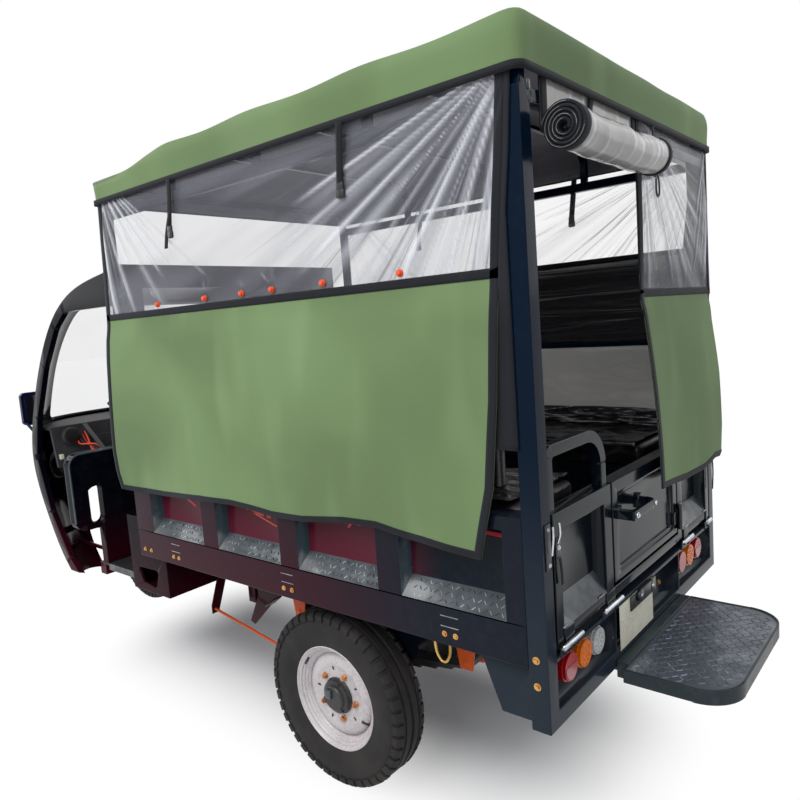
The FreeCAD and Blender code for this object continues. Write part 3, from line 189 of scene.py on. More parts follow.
class Tree:
    """A node tree that takes values and wires."""

    def __init__(self, tree):
        self.tree = tree

    def put(self, socket, value):
        if isinstance(value, Wire):
            self.tree.links.new(value.socket, socket)
        elif isinstance(value, (tuple, list)) and len(value) == 3 and socket.type == "RGBA":
            socket.default_value = (*shade(*value), 1.0)
        else:
            socket.default_value = value

    def node(self, kind, values=None, out=0, **settings):
        """Adds a node: its settings first, then the values or wires of its sockets, by name or place."""
        made = self.tree.nodes.new(kind)
        for name, value in settings.items():
            setattr(made, name, value)
        for name, value in (values or {}).items():
            self.put(made.inputs[name], value)
        return Wire(self, made.outputs[out])


class Finish(Tree):
    """A material under one main shader."""

    def __init__(self, name, slot=None, **constants):
        self.material = bpy.data.materials.new(name)
        self.material.use_nodes = True
        self.slot = slot
        super().__init__(self.material.node_tree)
        self.shader = self.tree.nodes["Principled BSDF"]
        self.set(**constants)

    def set(self, **values):
        """Sets the main shader's sockets: Base_Color is written for Base Color."""
        for name, value in values.items():
            self.put(self.shader.inputs[name.replace("_", " ")], value)
        return self

    def place(self, scale=(1, 1, 1), turn=(0, 0, 0), layer=None):
        """Object coordinates, or the piece's own UV map, centred or turned by a Mapping node."""
        source = self.node("ShaderNodeTexCoord", out="UV" if layer else "Object")
        return self.node("ShaderNodeMapping", {"Vector": source, "Scale": scale, "Rotation": turn})

    def axes(self, vector):
        split = self.tree.nodes.new("ShaderNodeSeparateXYZ")
        self.put(split.inputs[0], vector)
        return [Wire(self, split.outputs[i]) for i in range(3)]

    def grain(self, vector, scale, detail=2.0, rough=0.5, warp=0.0):
        values = {"Vector": vector, "Scale": scale, "Detail": detail, "Roughness": rough, "Distortion": warp}
        return self.node("ShaderNodeTexNoise", values)

    def mix(self, share, first, second):
        """A colour between two, by a share from 0 to 1."""
        return self.node("ShaderNodeMix", {0: share, 6: first, 7: second}, out=2, data_type="RGBA")

    def look(self, colour, roughness, height, strength, depth):
        """Sets the colour and the roughness, and feeds a height to the normal through a Bump node."""
        bump = self.node("ShaderNodeBump", {"Height": height, "Strength": strength, "Distance": depth})
        return self.set(Base_Color=colour, Roughness=roughness, Normal=bump)


# %% [markdown]
# ## Paint
# Gloss paint on pressed steel is never one flat colour. It turns from slate at the rear to a deep maroon
# towards the front and the sills, which is a painted reflection of red surroundings in the gloss, and low on
# the posts it pales into a painted reflection of the floor. Dust settles on it as a thin grey film, and the
# surface has a faint orange-peel ripple that breaks up its reflections.

# %% Paint
RED_REFLECTION_REACH = (REAR_FACE - 0.55, REAR_FACE - 1.9)
DARK = (9, 17, 25)
REFLECTED_MAROON = (104, 12, 26)


def paint(name, slot, cool=DARK, reflected_red=REFLECTED_MAROON, low=0.35, high=1.05, dust=0.06, rough=0.1, shine=0.5,
          floor_reflection=None, reach=RED_REFLECTION_REACH):
    """Gloss paint whose second colour, a painted reflection of red surroundings, grows towards the front and
    low down, and whose third colour, where given, is a painted reflection of the floor towards the ground.
    """
    made = Finish(name, slot, IOR=1.27, Specular_IOR_Level=shine)
    place = made.place()
    x, y, z = made.axes(place)
    blotch = made.grain(place, 2.6, 3.0)
    # The maroon share, a painted reflection of red surroundings: more towards the front and low down.
    red_reflection = y.ramp(*reach) * (z + blotch * 0.25).ramp(high, low)
    fine = made.grain(place, 38.0, 4.0, 0.65)
    film = (fine * blotch).ramp(0.22, 0.46) * dust
    # Towards the ground the third colour, where given, is a painted reflection of the floor.
    body = made.mix(red_reflection, made.mix(z.ramp(1.15, 0.6), cool, floor_reflection) if floor_reflection else cool, reflected_red)
    ripple = made.grain(place, 120.0, 2.0) + blotch * 3.0
    roughness = rough + film * 0.6 + blotch * 0.1
    return made.look(made.mix(film, body, (90, 94, 96)), roughness, ripple, 0.1, 0.0008)


# Below, each paint's second colour is a painted reflection of red surroundings over its own reach, and the
# posts' third colour is a painted reflection of the floor.
NAVY = (2, 20, 38)
PANEL_REACH = (REAR_FACE - 0.3, REAR_FACE - 0.52)
BEAM_REACH = (REAR_FACE - 0.25, REAR_FACE - 0.95)
body_paint = paint("body_paint", "body_paint", low=0.2)
post_paint = paint("post_paint", "body_paint", NAVY, low=0.2, dust=0.03, shine=0.22, floor_reflection=(38, 46, 55))
side_paint = paint("side_paint", "body_paint", (20, 25, 36), (54, 11, 26), 0.6, 1.3, 0.04,
                   shine=0.3, reach=BEAM_REACH)
panel_paint = paint("panel_paint", "body_paint", (10, 22, 33), (86, 26, 42), 1.3, 1.6, 0.05,
                    shine=0.3, reach=PANEL_REACH)
# A lighter paint for the bays' end walls: a painted highlight where the pillars' ends catch the light.
lit_end_paint = paint("lit_end_paint", "body_paint", (27, 42, 51), (44, 36, 46), dust=0.2, rough=0.2)
frame_paint = paint("frame_paint", "frame_paint", (12, 17, 27), (72, 12, 24), 0.2, 1.2, 0.04,
                    shine=0.3)
cab_paint = paint("cab_paint", "cab_paint", (7, 9, 18), (62, 9, 22), 0.3, 0.9, 0.04, shine=0.14)
black_paint = paint("black_paint", "axle_black", (17, 17, 20), (24, 16, 19), dust=0.3, rough=0.35)
orange_paint = paint("orange_paint", "rod_orange", (212, 88, 34), (196, 74, 34), dust=0.3,
                     rough=0.3)
fork_paint = paint("fork_paint", "fork_steel", (18, 18, 21), (22, 18, 20), rough=0.3)
mirror_shell = paint("mirror_shell", "mirror_navy", (12, 16, 52), (14, 15, 48), rough=0.12)
print("paints:", len(bpy.data.materials))

# %% [markdown]
# ## Cloth, film and rubber
# The canopy is coated canvas. A weave is two sets of fine ridges that cross, and its pattern
# follows the cloth, so it reads the sheet's UV map, which is in metres. Sun and dust leave large
# soft patches, and the creases catch a lighter tone.

# %% Cloth
def canvas(name, slot, tone, dark, pale, ridges=900.0):
    """Coated woven cloth on a UV map in metres."""
    made = Finish(name, slot, Specular_IOR_Level=0.2, Sheen_Weight=0.05, Sheen_Roughness=0.5)
    place = made.place(layer="UV")
    x, y, z = made.axes(place)
    cloud = made.grain(place, 1.7, 2.0, 0.45, 0.4)
    soft = made.grain(made.place((3.0, 0.9, 1.0), layer="UV"), 2.2, 1.0)
    speck = made.grain(place, 420.0, 3.0)
    tinted = made.mix(cloud.ramp(0.36, 0.64), dark, tone)
    tinted = made.mix(soft.ramp(0.5, 0.78) * 0.5, tinted, pale)
    tinted = made.mix(speck.ramp(0.45, 0.8) * 0.22, tinted, dark)
    weave = (x * ridges).sine() * 0.5 + (y * ridges).sine() * 0.5
    return made.look(tinted, 0.72 + speck * 0.1, weave + speck * 1.4, 0.16, 0.0006)


green = (117, 140, 96), (100, 121, 82), (131, 154, 111)
grey = (146, 142, 148), (118, 114, 120), (170, 166, 172)
black = (30, 32, 38), (20, 22, 27), (46, 50, 56)
green_canvas = canvas("green_canvas", "canvas_green", *green)
grey_lining = canvas("grey_lining", "canvas_green", *grey)
black_tape = canvas("black_tape", "canvas_green", *black, ridges=2400.0)


def glossy_cloth(name, slot, tone, pale, crease=14.0, rough=0.28, level=0.55, along=1.0):
    """Coated sheet with a shine, creased in long soft lines that are paler as well as raised: a painted
    highlight along the creases.
    """
    made = Finish(name, slot, Specular_IOR_Level=level)
    place = made.place((1.0, along, 3.2))
    lines = made.grain(place, crease, 3.0, 0.55, 1.3)
    fine = made.grain(made.place(), 220.0, 3.0)
    # Paler along the crease lines: a painted highlight.
    tinted = made.mix(lines.ramp(0.45, 0.75), tone, pale)
    return made.look(tinted, rough + fine * 0.18, lines * 4.0 + fine * 0.25, 0.35, 0.003)


black_backing = glossy_cloth("black_backing", "canvas_green", (8, 11, 19), (20, 24, 34), 3.5, 0.1,
                             level=1.0, along=0.16)
seat_vinyl = glossy_cloth("seat_vinyl", "seat_vinyl", (28, 28, 31), (52, 51, 54), 9.0, 0.3)
seat_gloss = glossy_cloth("seat_gloss", "seat_vinyl", (12, 12, 14), (24, 24, 27), 5.0, 0.12)
seat_grey = glossy_cloth("seat_grey", "seat_grey", (206, 203, 199), (222, 219, 215), 4.0, 0.5)

# %% [markdown]
# Clear vinyl film shows mostly by what it does to light: it veils what is behind it with a little grey, and
# every crease catches the light as a white line, painted here as a white, more opaque line: a painted
# highlight. Darker streaks beside them are painted shade. Where the creases run is decided when the film is
# hung, so each film carries them as an attribute called crease. Its UV map holds the angle round the corner
# that it hangs from and the distance, and a noise that is stretched along the distance adds the fine lines
# between them.

# %% Clear film
CREASE_REACH = 1.1


def film(name, tint, veil, white=0.42, lines=34.0, dim=(64, 62, 70), dull_share=0.18):
    """Clear sheet: veil is how much it hides, white how strongly its creases show as painted highlights; dim
    is the colour of the painted shade in its streaks.
    """
    made = Finish(name, "clear_film", Specular_IOR_Level=0.5, IOR=1.45)
    u, v, w = made.axes(made.place(layer="UV"))
    streak = made.grain(made.place((lines, 1.3, 1.0), layer="UV"), 1.0, 3.0, 0.62, 0.25)
    broad = made.grain(made.place((lines * 0.25, 1.0, 1.0), layer="UV"), 1.0, 1.0)
    main = made.node("ShaderNodeAttribute", out="Fac", attribute_name="crease")
    near = v.ramp(CREASE_REACH, CREASE_REACH * 0.25)
    crease = main.most(streak.ramp(0.58, 0.76) * near * 0.5)
    shadow = streak.ramp(0.46, 0.32) * near
    dull = broad.ramp(0.42, 0.7)
    made.set(Alpha=crease * white + shadow * 0.3 + dull * dull_share + veil)
    # Creases turn white, a painted highlight, and the shadow streaks take the dim colour, painted shade.
    tinted = made.mix(crease, made.mix(shadow, tint, dim), (232, 234, 240))
    return made.look(tinted, crease * 0.2 + 0.07, streak + broad * 2.0 + main, 0.4, 0.004)


clear_film = film("clear_film", (138, 138, 147), 0.17)
# A paler, clearer copy of the same film for the far side: painted light, for the film washed out by the bright
# light behind it.
washed_out_film = film("washed_out_film", (226, 226, 230), 0.05, 0.25, dim=(176, 176, 182), dull_share=0.04)
rolled_film = film("rolled_film", (186, 182, 178), 0.66, 0.34, 26.0)
seat_wrap = film("seat_wrap", (36, 35, 38), 0.62, 0.4, 9.0)

# %% [markdown]
# ## Rubber, rims, fasteners and lenses
# Tyre rubber is matt and browned by dust in its grooves and around the sidewall. The wheel's white enamel has
# a faint pink-grey cast in soft patches. Zinc-plated bolts are yellow, with a rainbow tint, and chrome is a
# mirror with small scratches.

# %% Rubber and metal
def rubber(name, slot, tone, dusty):
    made = Finish(name, slot, Specular_IOR_Level=0.35)
    place = made.place()
    dust = made.grain(place, 7.0, 4.0, 0.6)
    fine = made.grain(place, 320.0, 3.0)
    tinted = made.mix(dust.ramp(0.38, 0.72) * 0.6, tone, dusty)
    return made.look(tinted, 0.62 + fine * 0.25, fine + dust * 2.0, 0.25, 0.0008)


tyre_rubber = rubber("tyre_rubber", "tyre", (25, 24, 26), (50, 43, 41))
soft_rubber = rubber("soft_rubber", "black_plastic", (24, 24, 26), (44, 43, 43))


def metal(name, slot, tone, tint, rough=0.25):
    """Bare or plated metal with a brushed grain and a second tint in patches."""
    made = Finish(name, slot, Metallic=1.0)
    place = made.place()
    patch = made.grain(place, 24.0, 2.0)
    fine = made.grain(made.place((1.0, 6.0, 1.0)), 90.0, 4.0, 0.7)
    return made.look(made.mix(patch.ramp(0.4, 0.65), tone, tint), rough + fine * 0.22, fine, 0.15, 0.0004)


zinc = metal("zinc", "spring_steel", (214, 176, 108), (196, 142, 84))
copper = metal("copper", "spring_steel", (208, 158, 116), (170, 112, 80))
chrome = metal("chrome", "spring_steel", (200, 204, 208), (170, 176, 182), 0.12)
bare_steel = metal("bare_steel", "spring_steel", (168, 172, 174), (140, 144, 146), 0.32)


def enamel(name, slot, tone, dusty, rough=0.3, patch=9.0):
    """Satin paint, speckled with dust."""
    made = Finish(name, slot, Specular_IOR_Level=0.5)
    place = made.place()
    cloud = made.grain(place, patch, 3.0, 0.6)
    fine = made.grain(place, 140.0, 3.0)
    tinted = made.mix((cloud * fine * 2.0).ramp(0.32, 0.72) * 0.6, tone, dusty)
    return made.look(tinted, rough + fine * 0.2, fine + cloud, 0.1, 0.0005)


rim_white = enamel("rim_white", "rim_white", (200, 195, 196), (166, 154, 155), 0.2, 5.0)
plate_white = enamel("plate_white", "plate_white", (236, 233, 214), (206, 200, 178))
grey_steel = enamel("grey_steel", "body_paint", (58, 70, 78), (86, 92, 94), 0.35)
spring_black = enamel("spring_black", "spring_steel", (26, 26, 30), (62, 58, 54), 0.45)
black_plastic = enamel("black_plastic", "black_plastic", (22, 22, 25), (48, 48, 50), 0.42, 5.0)
stripe_red = enamel("stripe_red", "lens_red", (205, 24, 38), (150, 20, 34), 0.3)
stripe_orange = enamel("stripe_orange", "lens_amber", (222, 92, 40), (180, 70, 34), 0.3)
knob_orange = enamel("knob_orange", "lens_amber", (240, 84, 28), (214, 62, 20), 0.3)


def tread_metal(name, slot, tone, worn, rough=0.4):
    """Chequered plate: dull paint with feet-worn bright patches."""
    made = Finish(name, slot, Specular_IOR_Level=0.6)
    place = made.place()
    cloud = made.grain(place, 11.0, 3.0, 0.6)
    fine = made.grain(place, 180.0, 3.0)
    made.set(Coat_Weight=cloud.ramp(0.4, 0.6) * 0.4)
    tinted = made.mix(cloud.ramp(0.42, 0.7), tone, worn)
    return made.look(tinted, rough - cloud * 0.15 + fine * 0.1, fine, 0.12, 0.0005)


step_metal = tread_metal("step_metal", "tread_plate", (62, 69, 80), (72, 80, 91))
ledge_metal = tread_metal("ledge_metal", "tread_plate", (33, 42, 49), (54, 64, 72), 0.42)
tread_bright = tread_metal("tread_bright", "tread_plate", (92, 98, 108), (136, 144, 154), 0.3)
ledge_bright = tread_metal("ledge_bright", "tread_plate", (120, 134, 140), (176, 188, 192), 0.25)
floor_metal = tread_metal("floor_metal", "tread_plate", (44, 46, 50), (62, 64, 68))


def lens(name, slot, tone, deep, ribs=900.0):
    """Moulded lamp plastic: small prisms under a gloss surface, darker where it is thick."""
    made = Finish(name, slot, Specular_IOR_Level=0.4, Coat_Weight=0.35, Coat_Roughness=0.04)
    place = made.place()
    x, y, z = made.axes(place)
    prisms = ((x * ribs).sine() * (z * ribs).sine()).size()
    cloud = made.grain(place, 60.0, 2.0)
    tinted = made.mix(prisms * 0.55 + cloud * 0.4, deep, tone)
    return made.look(tinted, 0.12 + prisms * 0.1, prisms, 0.35, 0.001)


lens_red = lens("lens_red", "lens_red", (214, 14, 30), (140, 4, 14))
lens_pink = lens("lens_pink", "lens_red", (186, 92, 96), (150, 50, 60), 500.0)
lens_amber = lens("lens_amber", "lens_amber", (255, 146, 10), (216, 92, 4))
lens_clear = lens("lens_clear", "lens_clear", (236, 236, 234), (150, 152, 156), 620.0)


def glass(name, slot, tint, clear):
    """Clear plate: clear is its least opacity, and a faint cloud adds to it."""
    made = Finish(name, slot, Specular_IOR_Level=0.6)
    cloud = made.grain(made.place(), 3.0, 3.0)
    made.set(Base_Color=made.mix(cloud, tint, (196, 208, 206)))
    made.set(Alpha=cloud * 0.06 + clear, Roughness=cloud * 0.06 + 0.03)
    return made


black = (26, 28, 33), (15, 16, 20), (40, 42, 48)
webbing = canvas("webbing", "black_plastic", *black, ridges=2600.0)
step_rim = paint("step_rim", "tread_plate", (38, 48, 53), (44, 46, 52), dust=0.4, rough=0.28)
hinge_black = enamel("hinge_black", "black_plastic", (15, 17, 21), (38, 40, 44), 0.22)
cap_black = enamel("cap_black", "black_plastic", (20, 20, 23), (46, 46, 48), 0.28)
dash_plastic = enamel("dash_plastic", "black_plastic", (36, 36, 39), (58, 58, 60), 0.5)
brass = metal("brass", "spring_steel", (206, 170, 96), (150, 112, 58), 0.3)
window_glass = glass("window_glass", "window_glass", (170, 186, 182), 0.06)
mirror_face = metal("mirror_face", "mirror_navy", (206, 212, 222), (190, 198, 210), 0.03)
print("finishes:", len(bpy.data.materials))

# %% [markdown]
# ## Floor and light
# The object stands on a pale floor that runs to the horizon. The background's white comes from the
# world and the floor's own material where the camera, a reflection or a clear sheet looks at them,
# so the lamps need not be bright enough to burn the pale parts out.

# %% Studio
FLOOR_SHADE = (214, 214, 216)
BLACK, WHITE = (0, 0, 0), (255, 255, 255)
SKY = (246.987, 250.463, 255)
FLOOR_SHARE = 0.04
SHADOW_MIDDLE = REAR_FACE - 1.225
SHADOW_HALF = 0.775
SHADOW_ASIDE = 0.1
SHADOW_FADE = 0.6
WORLD_LIGHT = 0.62
KEY_POWER = 210.0
FILL_POWER = 60.0


def object_of(name, bm):
    """A new object that takes over the bmesh."""
    mesh = bpy.data.meshes.new(name)
    bm.to_mesh(mesh)
    bm.free()
    made = bpy.data.objects.new(name, mesh)
    bpy.context.scene.collection.objects.link(made)
    return made


def studio_floor():
    """A pale floor that keeps the shadow near the vehicle and is plain white further off."""
    bm = bmesh.new()
    bmesh.ops.create_grid(bm, x_segments=8, y_segments=8, size=60.0)
    floor = object_of("studio_floor", bm)
    made = Finish("floor_pale", Roughness=0.9, Specular_IOR_Level=0.05, Emission_Strength=1.0)
    x, y, z = made.axes(made.place())
    aside = (x.size() - SHADOW_ASIDE).most(0.0)
    beyond = ((y - SHADOW_MIDDLE).size() - SHADOW_HALF).most(0.0)
    away = (aside * aside + beyond * beyond) ** 0.5 + made.grain(made.place(), 2.0) * 0.02
    white = away.ramp(0.0, SHADOW_FADE) * (1.0 - FLOOR_SHARE) + FLOOR_SHARE
    seen = white * view_ray(made)
    made.set(Base_Color=made.mix(seen, FLOOR_SHADE, BLACK))
    made.set(Emission_Color=made.mix(seen, BLACK, WHITE))
    floor.data.materials.append(made.material)


def view_ray(tree):
    """1 where the camera looks, straight, in a reflection or through something clear."""
    outs = ["Is %s Ray" % word for word in ("Camera", "Glossy", "Transmission")]
    straight, glossy, through = (tree.node("ShaderNodeLightPath", out=out) for out in outs)
    return straight.most(glossy).most(through)


def studio_world():
    """A soft blue-white light all round that is plain white where it is looked at."""
    world = bpy.data.worlds.new("studio")
    world.use_nodes = True
    bpy.context.scene.world = world
    sky = Tree(world.node_tree)
    lit = sky.node("ShaderNodeBackground", {"Color": SKY, "Strength": WORLD_LIGHT})
    seen = sky.node("ShaderNodeBackground", {"Color": WHITE})
    both = sky.node("ShaderNodeMixShader", {0: view_ray(sky), 1: lit, 2: seen})
    sky.put(sky.tree.nodes["World Output"].inputs["Surface"], both)


def area_lamp(name, place, target, size, power):
    data = bpy.data.lights.new(name, "AREA")
    data.shape = "RECTANGLE"
    data.size, data.size_y = size
    data.energy = power
    lamp = bpy.data.objects.new(name, data)
    bpy.context.scene.collection.objects.link(lamp)
    toward = (Vector(target) - Vector(place)).to_track_quat("-Z", "Y")
    lamp.matrix_world = Matrix.Translation(place) @ toward.to_matrix().to_4x4()


studio_floor()
studio_world()
area_lamp("key", (4.4, 0.9, 4.8), (0, 0, 0.9), (3.5, 3.5), KEY_POWER)
area_lamp("fill", (-4.5, 3.5, 3.0), (0, 0.5, 1.0), (4.0, 3.0), FILL_POWER * 0.5)
area_lamp("front", (1.5, -5.5, 3.2), (0, -0.5, 1.0), (4.0, 3.0), FILL_POWER)
bpy.context.scene.view_settings.view_transform = "Standard"

# %% [markdown]
# ## Turning a mesh into a piece
# Each new piece is built in a bmesh, given its finishes, and tied to the body it moves with. A
# sheet is a grid whose corners are put where the cloth hangs, with a UV map in metres, and gets its
# thickness from a Solidify modifier, whose inner face may have a finish of its own.

# %% Pieces and sheets
def finished(name, bm, finishes, body="root", smooth=30.0, replaces=()):
    """The bmesh as an object that rides on a body."""
    made = object_of(name, bm)
    for polygon in made.data.polygons:
        polygon.use_smooth = smooth > 0
    if 0 < smooth < 180:
        made.data.set_sharp_from_angle(angle=math.radians(smooth))
    finishes = finishes if isinstance(finishes, list) else [finishes]
    for finish in finishes:
        made.data.materials.append(finish.material)
    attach(made, body)
    if replaces:
        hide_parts(*replaces)
    return made


def table(rows, value):
    """A number read from rows of (value, result), with straight lines between them."""
    if value <= rows[0][0]:
        return rows[0][1]
    for (a, first), (b, second) in zip(rows, rows[1:]):
        if value <= b:
            return first + (second - first) * (value - a) / (b - a)
    return rows[-1][1]


def sheet_mesh(place, cols, rows, u=(0.0, 1.0), v=(0.0, 1.0), outward=(1, 0, 0)):
    """A grid whose vertices go where place(u, v) says: a point, a UV pair and a crease."""
    bm = bmesh.new()
    bmesh.ops.create_grid(bm, x_segments=cols, y_segments=rows, size=0.5)
    layer = bm.loops.layers.uv.new("UVMap")
    folds = bm.verts.layers.float.new("crease")
    spots = {}
    for vert in bm.verts:
        share_u = u[0] + (u[1] - u[0]) * (vert.co.x + 0.5)
        share_v = v[0] + (v[1] - v[0]) * (vert.co.y + 0.5)
        point, flat, crease = place(share_u, share_v)
        vert.co = point
        vert[folds] = crease
        spots[vert.index] = flat
    for face in bm.faces:
        for loop in face.loops:
            loop[layer].uv = spots[loop.vert.index]
    bm.normal_update()
    facing = sum((face.normal * face.calc_area() for face in bm.faces), Vector())
    if facing.dot(Vector(outward)) < 0:
        bmesh.ops.reverse_faces(bm, faces=bm.faces[:])
    return bm


def thicken(made, thick, inner=0, offset=0.0):
    """Gives a sheet its thickness; inner is the finish of its back, counted from the front's."""
    solid = made.modifiers.new("thickness", "SOLIDIFY")
    solid.thickness = thick
    solid.offset = offset
    solid.material_offset = inner
    solid.use_even_offset = False
    return made


# %% [markdown]
# ## Side curtains
# Each side has one curtain: clear film down to a seam, and canvas below it. It is tied at the
# rear corner and pulled tight there, so long creases fan out over the film from that corner and a
# second fan comes down from the front one. The canvas hangs loose, with soft vertical folds that
# grow towards the free lower edge. The outline is read as rows of (height, place) so that the two
# parts meet exactly at the seam.

# %% Where the side curtains hang
FACE = span("side_beams")[1].x
SEAM = span("side_curtains")[1].z
COVER_EDGE = span("canopy_roof")[0].z
FILM_TOP = COVER_EDGE + 0.035
REAR_EDGE = [(0.85, -0.149), (0.91, -0.134), (1.01, -0.108), (1.21, -0.086), (1.37, -0.077), (1.5, -0.068),
             (1.62, -0.056), (1.74, -0.042), (1.88, -0.03), (1.95, -0.028)]
FRONT_EDGE = [(0.85, -1.742), (0.92, -1.768), (1.0, -1.78), (1.19, -1.777), (1.34, -1.772), (1.49, -1.757),
              (1.67, -1.742), (1.77, -1.736), (1.88, -1.728), (1.95, -1.724)]
HEM = [(-1.75, 0.853), (-1.48, 0.848), (-1.25, 0.86), (-1.1, 0.861), (-0.9, 0.846), (-0.76, 0.851),
       (-0.6, 0.868), (-0.48, 0.871), (-0.4, 0.861), (-0.32, 0.855), (-0.24, 0.845), (-0.15, 0.837)]
SNAPS = (-1.402, -1.134, -0.949, -0.812, -0.606, -0.341)
SEAMS = {1: SEAM, -1: SEAM + 0.085}
SNAP_RISE = 0.036
ZIP_LOW = 1.1
ZIP_REACH = -0.044
CORNER_FANS = ((13, 14, 84, 0.0065, 0.05, 0.95), (4, 18, 34, 0.012, 0.25, 1.35),
               (13, 34, 88, 0.008, 0.14, 0.72))
SNAP_FAN = (4, -150, -30, 0.005, 0.02, 0.06)
SIDES = {1: "left", -1: "right"}
GAP = 0.0035
HEM_LEVEL = 0.85
TAPE, TAPE_THICK = 0.022, 0.0048
FILM_THICK, CANVAS_THICK = 0.0008, 0.0016


def smooth_step(low, high, value):
    share = min(1.0, max(0.0, (value - low) / (high - low)))
    return share * share * (3 - 2 * share)


def fan(dice, count, first, last, width, near, far):
    """Creases that leave one corner: their angle, half width, strength and the distances where they run."""
    lines = []
    for i in range(count):
        angle = math.radians(first + (last - first) * (i + dice.uniform(-0.2, 1.2)) / count)
        start = near * dice.uniform(0.6, 1.4)
        strength = dice.uniform(0.4, 1.0) ** 1.6
        lines.append((angle, width * dice.uniform(0.3, 1.5), strength, start, far * dice.uniform(0.4, 1.15)))
    return lines


def crease_at(corner, lines, across, up):
    """How strongly the creases of one fan show at a point of the sheet."""
    dx = across - corner[0]
    dz = corner[1] - up
    distance = math.hypot(dx, dz)
    angle = math.atan2(dz, dx)
    most = 0.0
    for line, width, strength, near, far in lines:
        off = (angle - line) * distance / (width * (0.6 + distance))
        if abs(off) < 2.2:
            reach = smooth_step(near * 0.5, near * 1.5, distance) * smooth_step(far, far * 0.75, distance)
            most = max(most, strength * reach * math.exp(-off * off))
    return most


def ends(first, last, place, share):
    """The runs of the tapes at a sheet's two upright edges."""
    return (first, place, 3, 60, (0, share), (0, 1)), (last, place, 3, 60, (1 - share, 1), (0, 1))


def bind(word, runs, outward):
    """Black tapes along a sheet's edges: a name, a place, a grid and a share of the sheet for each."""
    tapes = []
    for name, place, cols, rows, u, v in runs:
        bound = finished(name + word, sheet_mesh(place, cols, rows, u, v, outward), black_tape)
        tapes.append(thicken(bound, TAPE_THICK))
    return tapes


def side_curtain(sign, seed):
    """The film and the canvas of one side, with the tapes that bind them."""
    seam = SEAMS[sign]
    # The far side's creases are weaker, in shape and in their painted highlights, as its film is washed out by
    # light.
    folds = 1.0 if sign > 0 else 0.4
    dice = random.Random(seed)
    word = SIDES[sign]
    rear_corner = (0.015, FILM_TOP)
    front_corner = (-1.74, FILM_TOP + 0.1)
    rear_fan, long_fan, front_fan = (fan(dice, *row) for row in CORNER_FANS)
    snap_fans = [fan(dice, *SNAP_FAN) for snap in SNAPS]
    drift = dice.uniform(0, 50)

    def film_crease(y, z):
        most = crease_at(rear_corner, rear_fan + long_fan, -y, z)
        most = max(most, crease_at(front_corner, front_fan, y, z))
        for snap, rays in zip(SNAPS, snap_fans):
            spot = (-snap, seam + SNAP_RISE)
            if abs(-y - spot[0]) < 0.1 and abs(z - spot[1]) < 0.1:
                most = max(most, crease_at(spot, rays, -y, z) * 0.35)
        return min(1.0, most) * folds

    def film_place(u, v):
        z = seam + (FILM_TOP - seam) * v
        y = table(REAR_EDGE, z) * (1 - u) + table(FRONT_EDGE, z) * u
        crease = film_crease(y, z)
        uneven = 0.5 + noise.noise(Vector((y * 1.6, z * 2.0, drift))) * 0.5
        slack = math.sin(math.pi * min(1.0, max(0.0, v))) * uneven
        free = smooth_step(0.0, 0.04, u) * smooth_step(1.0, 0.96, u) * smooth_step(0.03, 0.14, v)
        out = GAP + free * (0.006 * crease + 0.01 * slack * (1.0 - u * 0.4))
        dx, dz = -y - rear_corner[0], rear_corner[1] - z
        return at(sign * (FACE + out), y, z), (math.atan2(dz, dx), math.hypot(dx, dz)), crease

    def canvas_place(u, v):
        z_low = table(HEM, table(REAR_EDGE, 0.86) * (1 - u) + table(FRONT_EDGE, 0.86) * u)
        z = z_low + (seam - z_low) * v
        y = table(REAR_EDGE, z) * (1 - u) + table(FRONT_EDGE, z) * u
        free = 1.0 - v
        wave = math.sin(y * 7.4 + drift) * 0.5 + math.sin(y * 13.1 + 1.7 * drift + z * 1.2) * 0.3
        wave += noise.noise(Vector((y * 2.4, z * 1.5, drift))) * 0.9
        belly = math.sin(math.pi * v) * 0.006
        end = smooth_step(-1.45, -1.75, y) if y < -1.4 else 0.0
        loose = smooth_step(0.02, 0.14, free)
        billow = (0.004 + 0.016 * free) * (0.62 + wave * 0.55)
        out = GAP + loose * (0.0005 + belly + billow + 0.012 * end * free)
        return at(sign * (FACE + max(0.0022, out)), y, z), (-y, z), 0.0

    def zip_place(u, v):
        z = ZIP_LOW + (FILM_TOP - ZIP_LOW) * v
        first = table(REAR_EDGE, z) - 0.004
        last = max(ZIP_REACH, first + 0.016)
        return at(sign * (FACE + GAP), first + (last - first) * u, z), (u * 0.03, z), 0.0

    outward = (sign, 0, 0)
    width = abs(FRONT_EDGE[4][1] - REAR_EDGE[4][1])
    bm = sheet_mesh(film_place, 260, 72, outward=outward)
    # The far side gets the paler copy of the film: painted light.
    clear = thicken(finished("film_" + word, bm, clear_film if sign > 0 else washed_out_film), FILM_THICK)
    bm = sheet_mesh(canvas_place, 130, 60, outward=outward)
    green = thicken(finished("curtain_" + word, bm, [green_canvas, black_backing]), CANVAS_THICK, inner=1)
    edge_u, seam_v, hem_v = TAPE / width, TAPE / 0.43, TAPE / (seam - HEM_LEVEL)
    runs = (
        *ends("tape_film_rear_", "tape_film_front_", film_place, edge_u),
        ("tape_seam_", film_place, 200, 3, (0, 1), (-seam_v * 0.45, seam_v * 0.55)),
        ("tape_zip_", zip_place, 3, 60, (0, 1), (0, 1)),
        *ends("tape_canvas_rear_", "tape_canvas_front_", canvas_place, edge_u),
        ("tape_hem_", canvas_place, 200, 3, (0, 1), (0, hem_v * 0.8)),
    )
    tapes = bind(word, runs, outward)
    return clear, green


# %% [markdown]
# One call makes a side. Its second number starts the dice that place the creases, so the two sides
# differ but stay the same from run to run.

# %% Side curtains
left_film, left_canvas = side_curtain(1, 11)
side_curtain(-1, 23)
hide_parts("side_curtains")
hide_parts("curtain_windows")
print("side curtains hang from", round(FILM_TOP, 3), "to", HEM[-1][1])

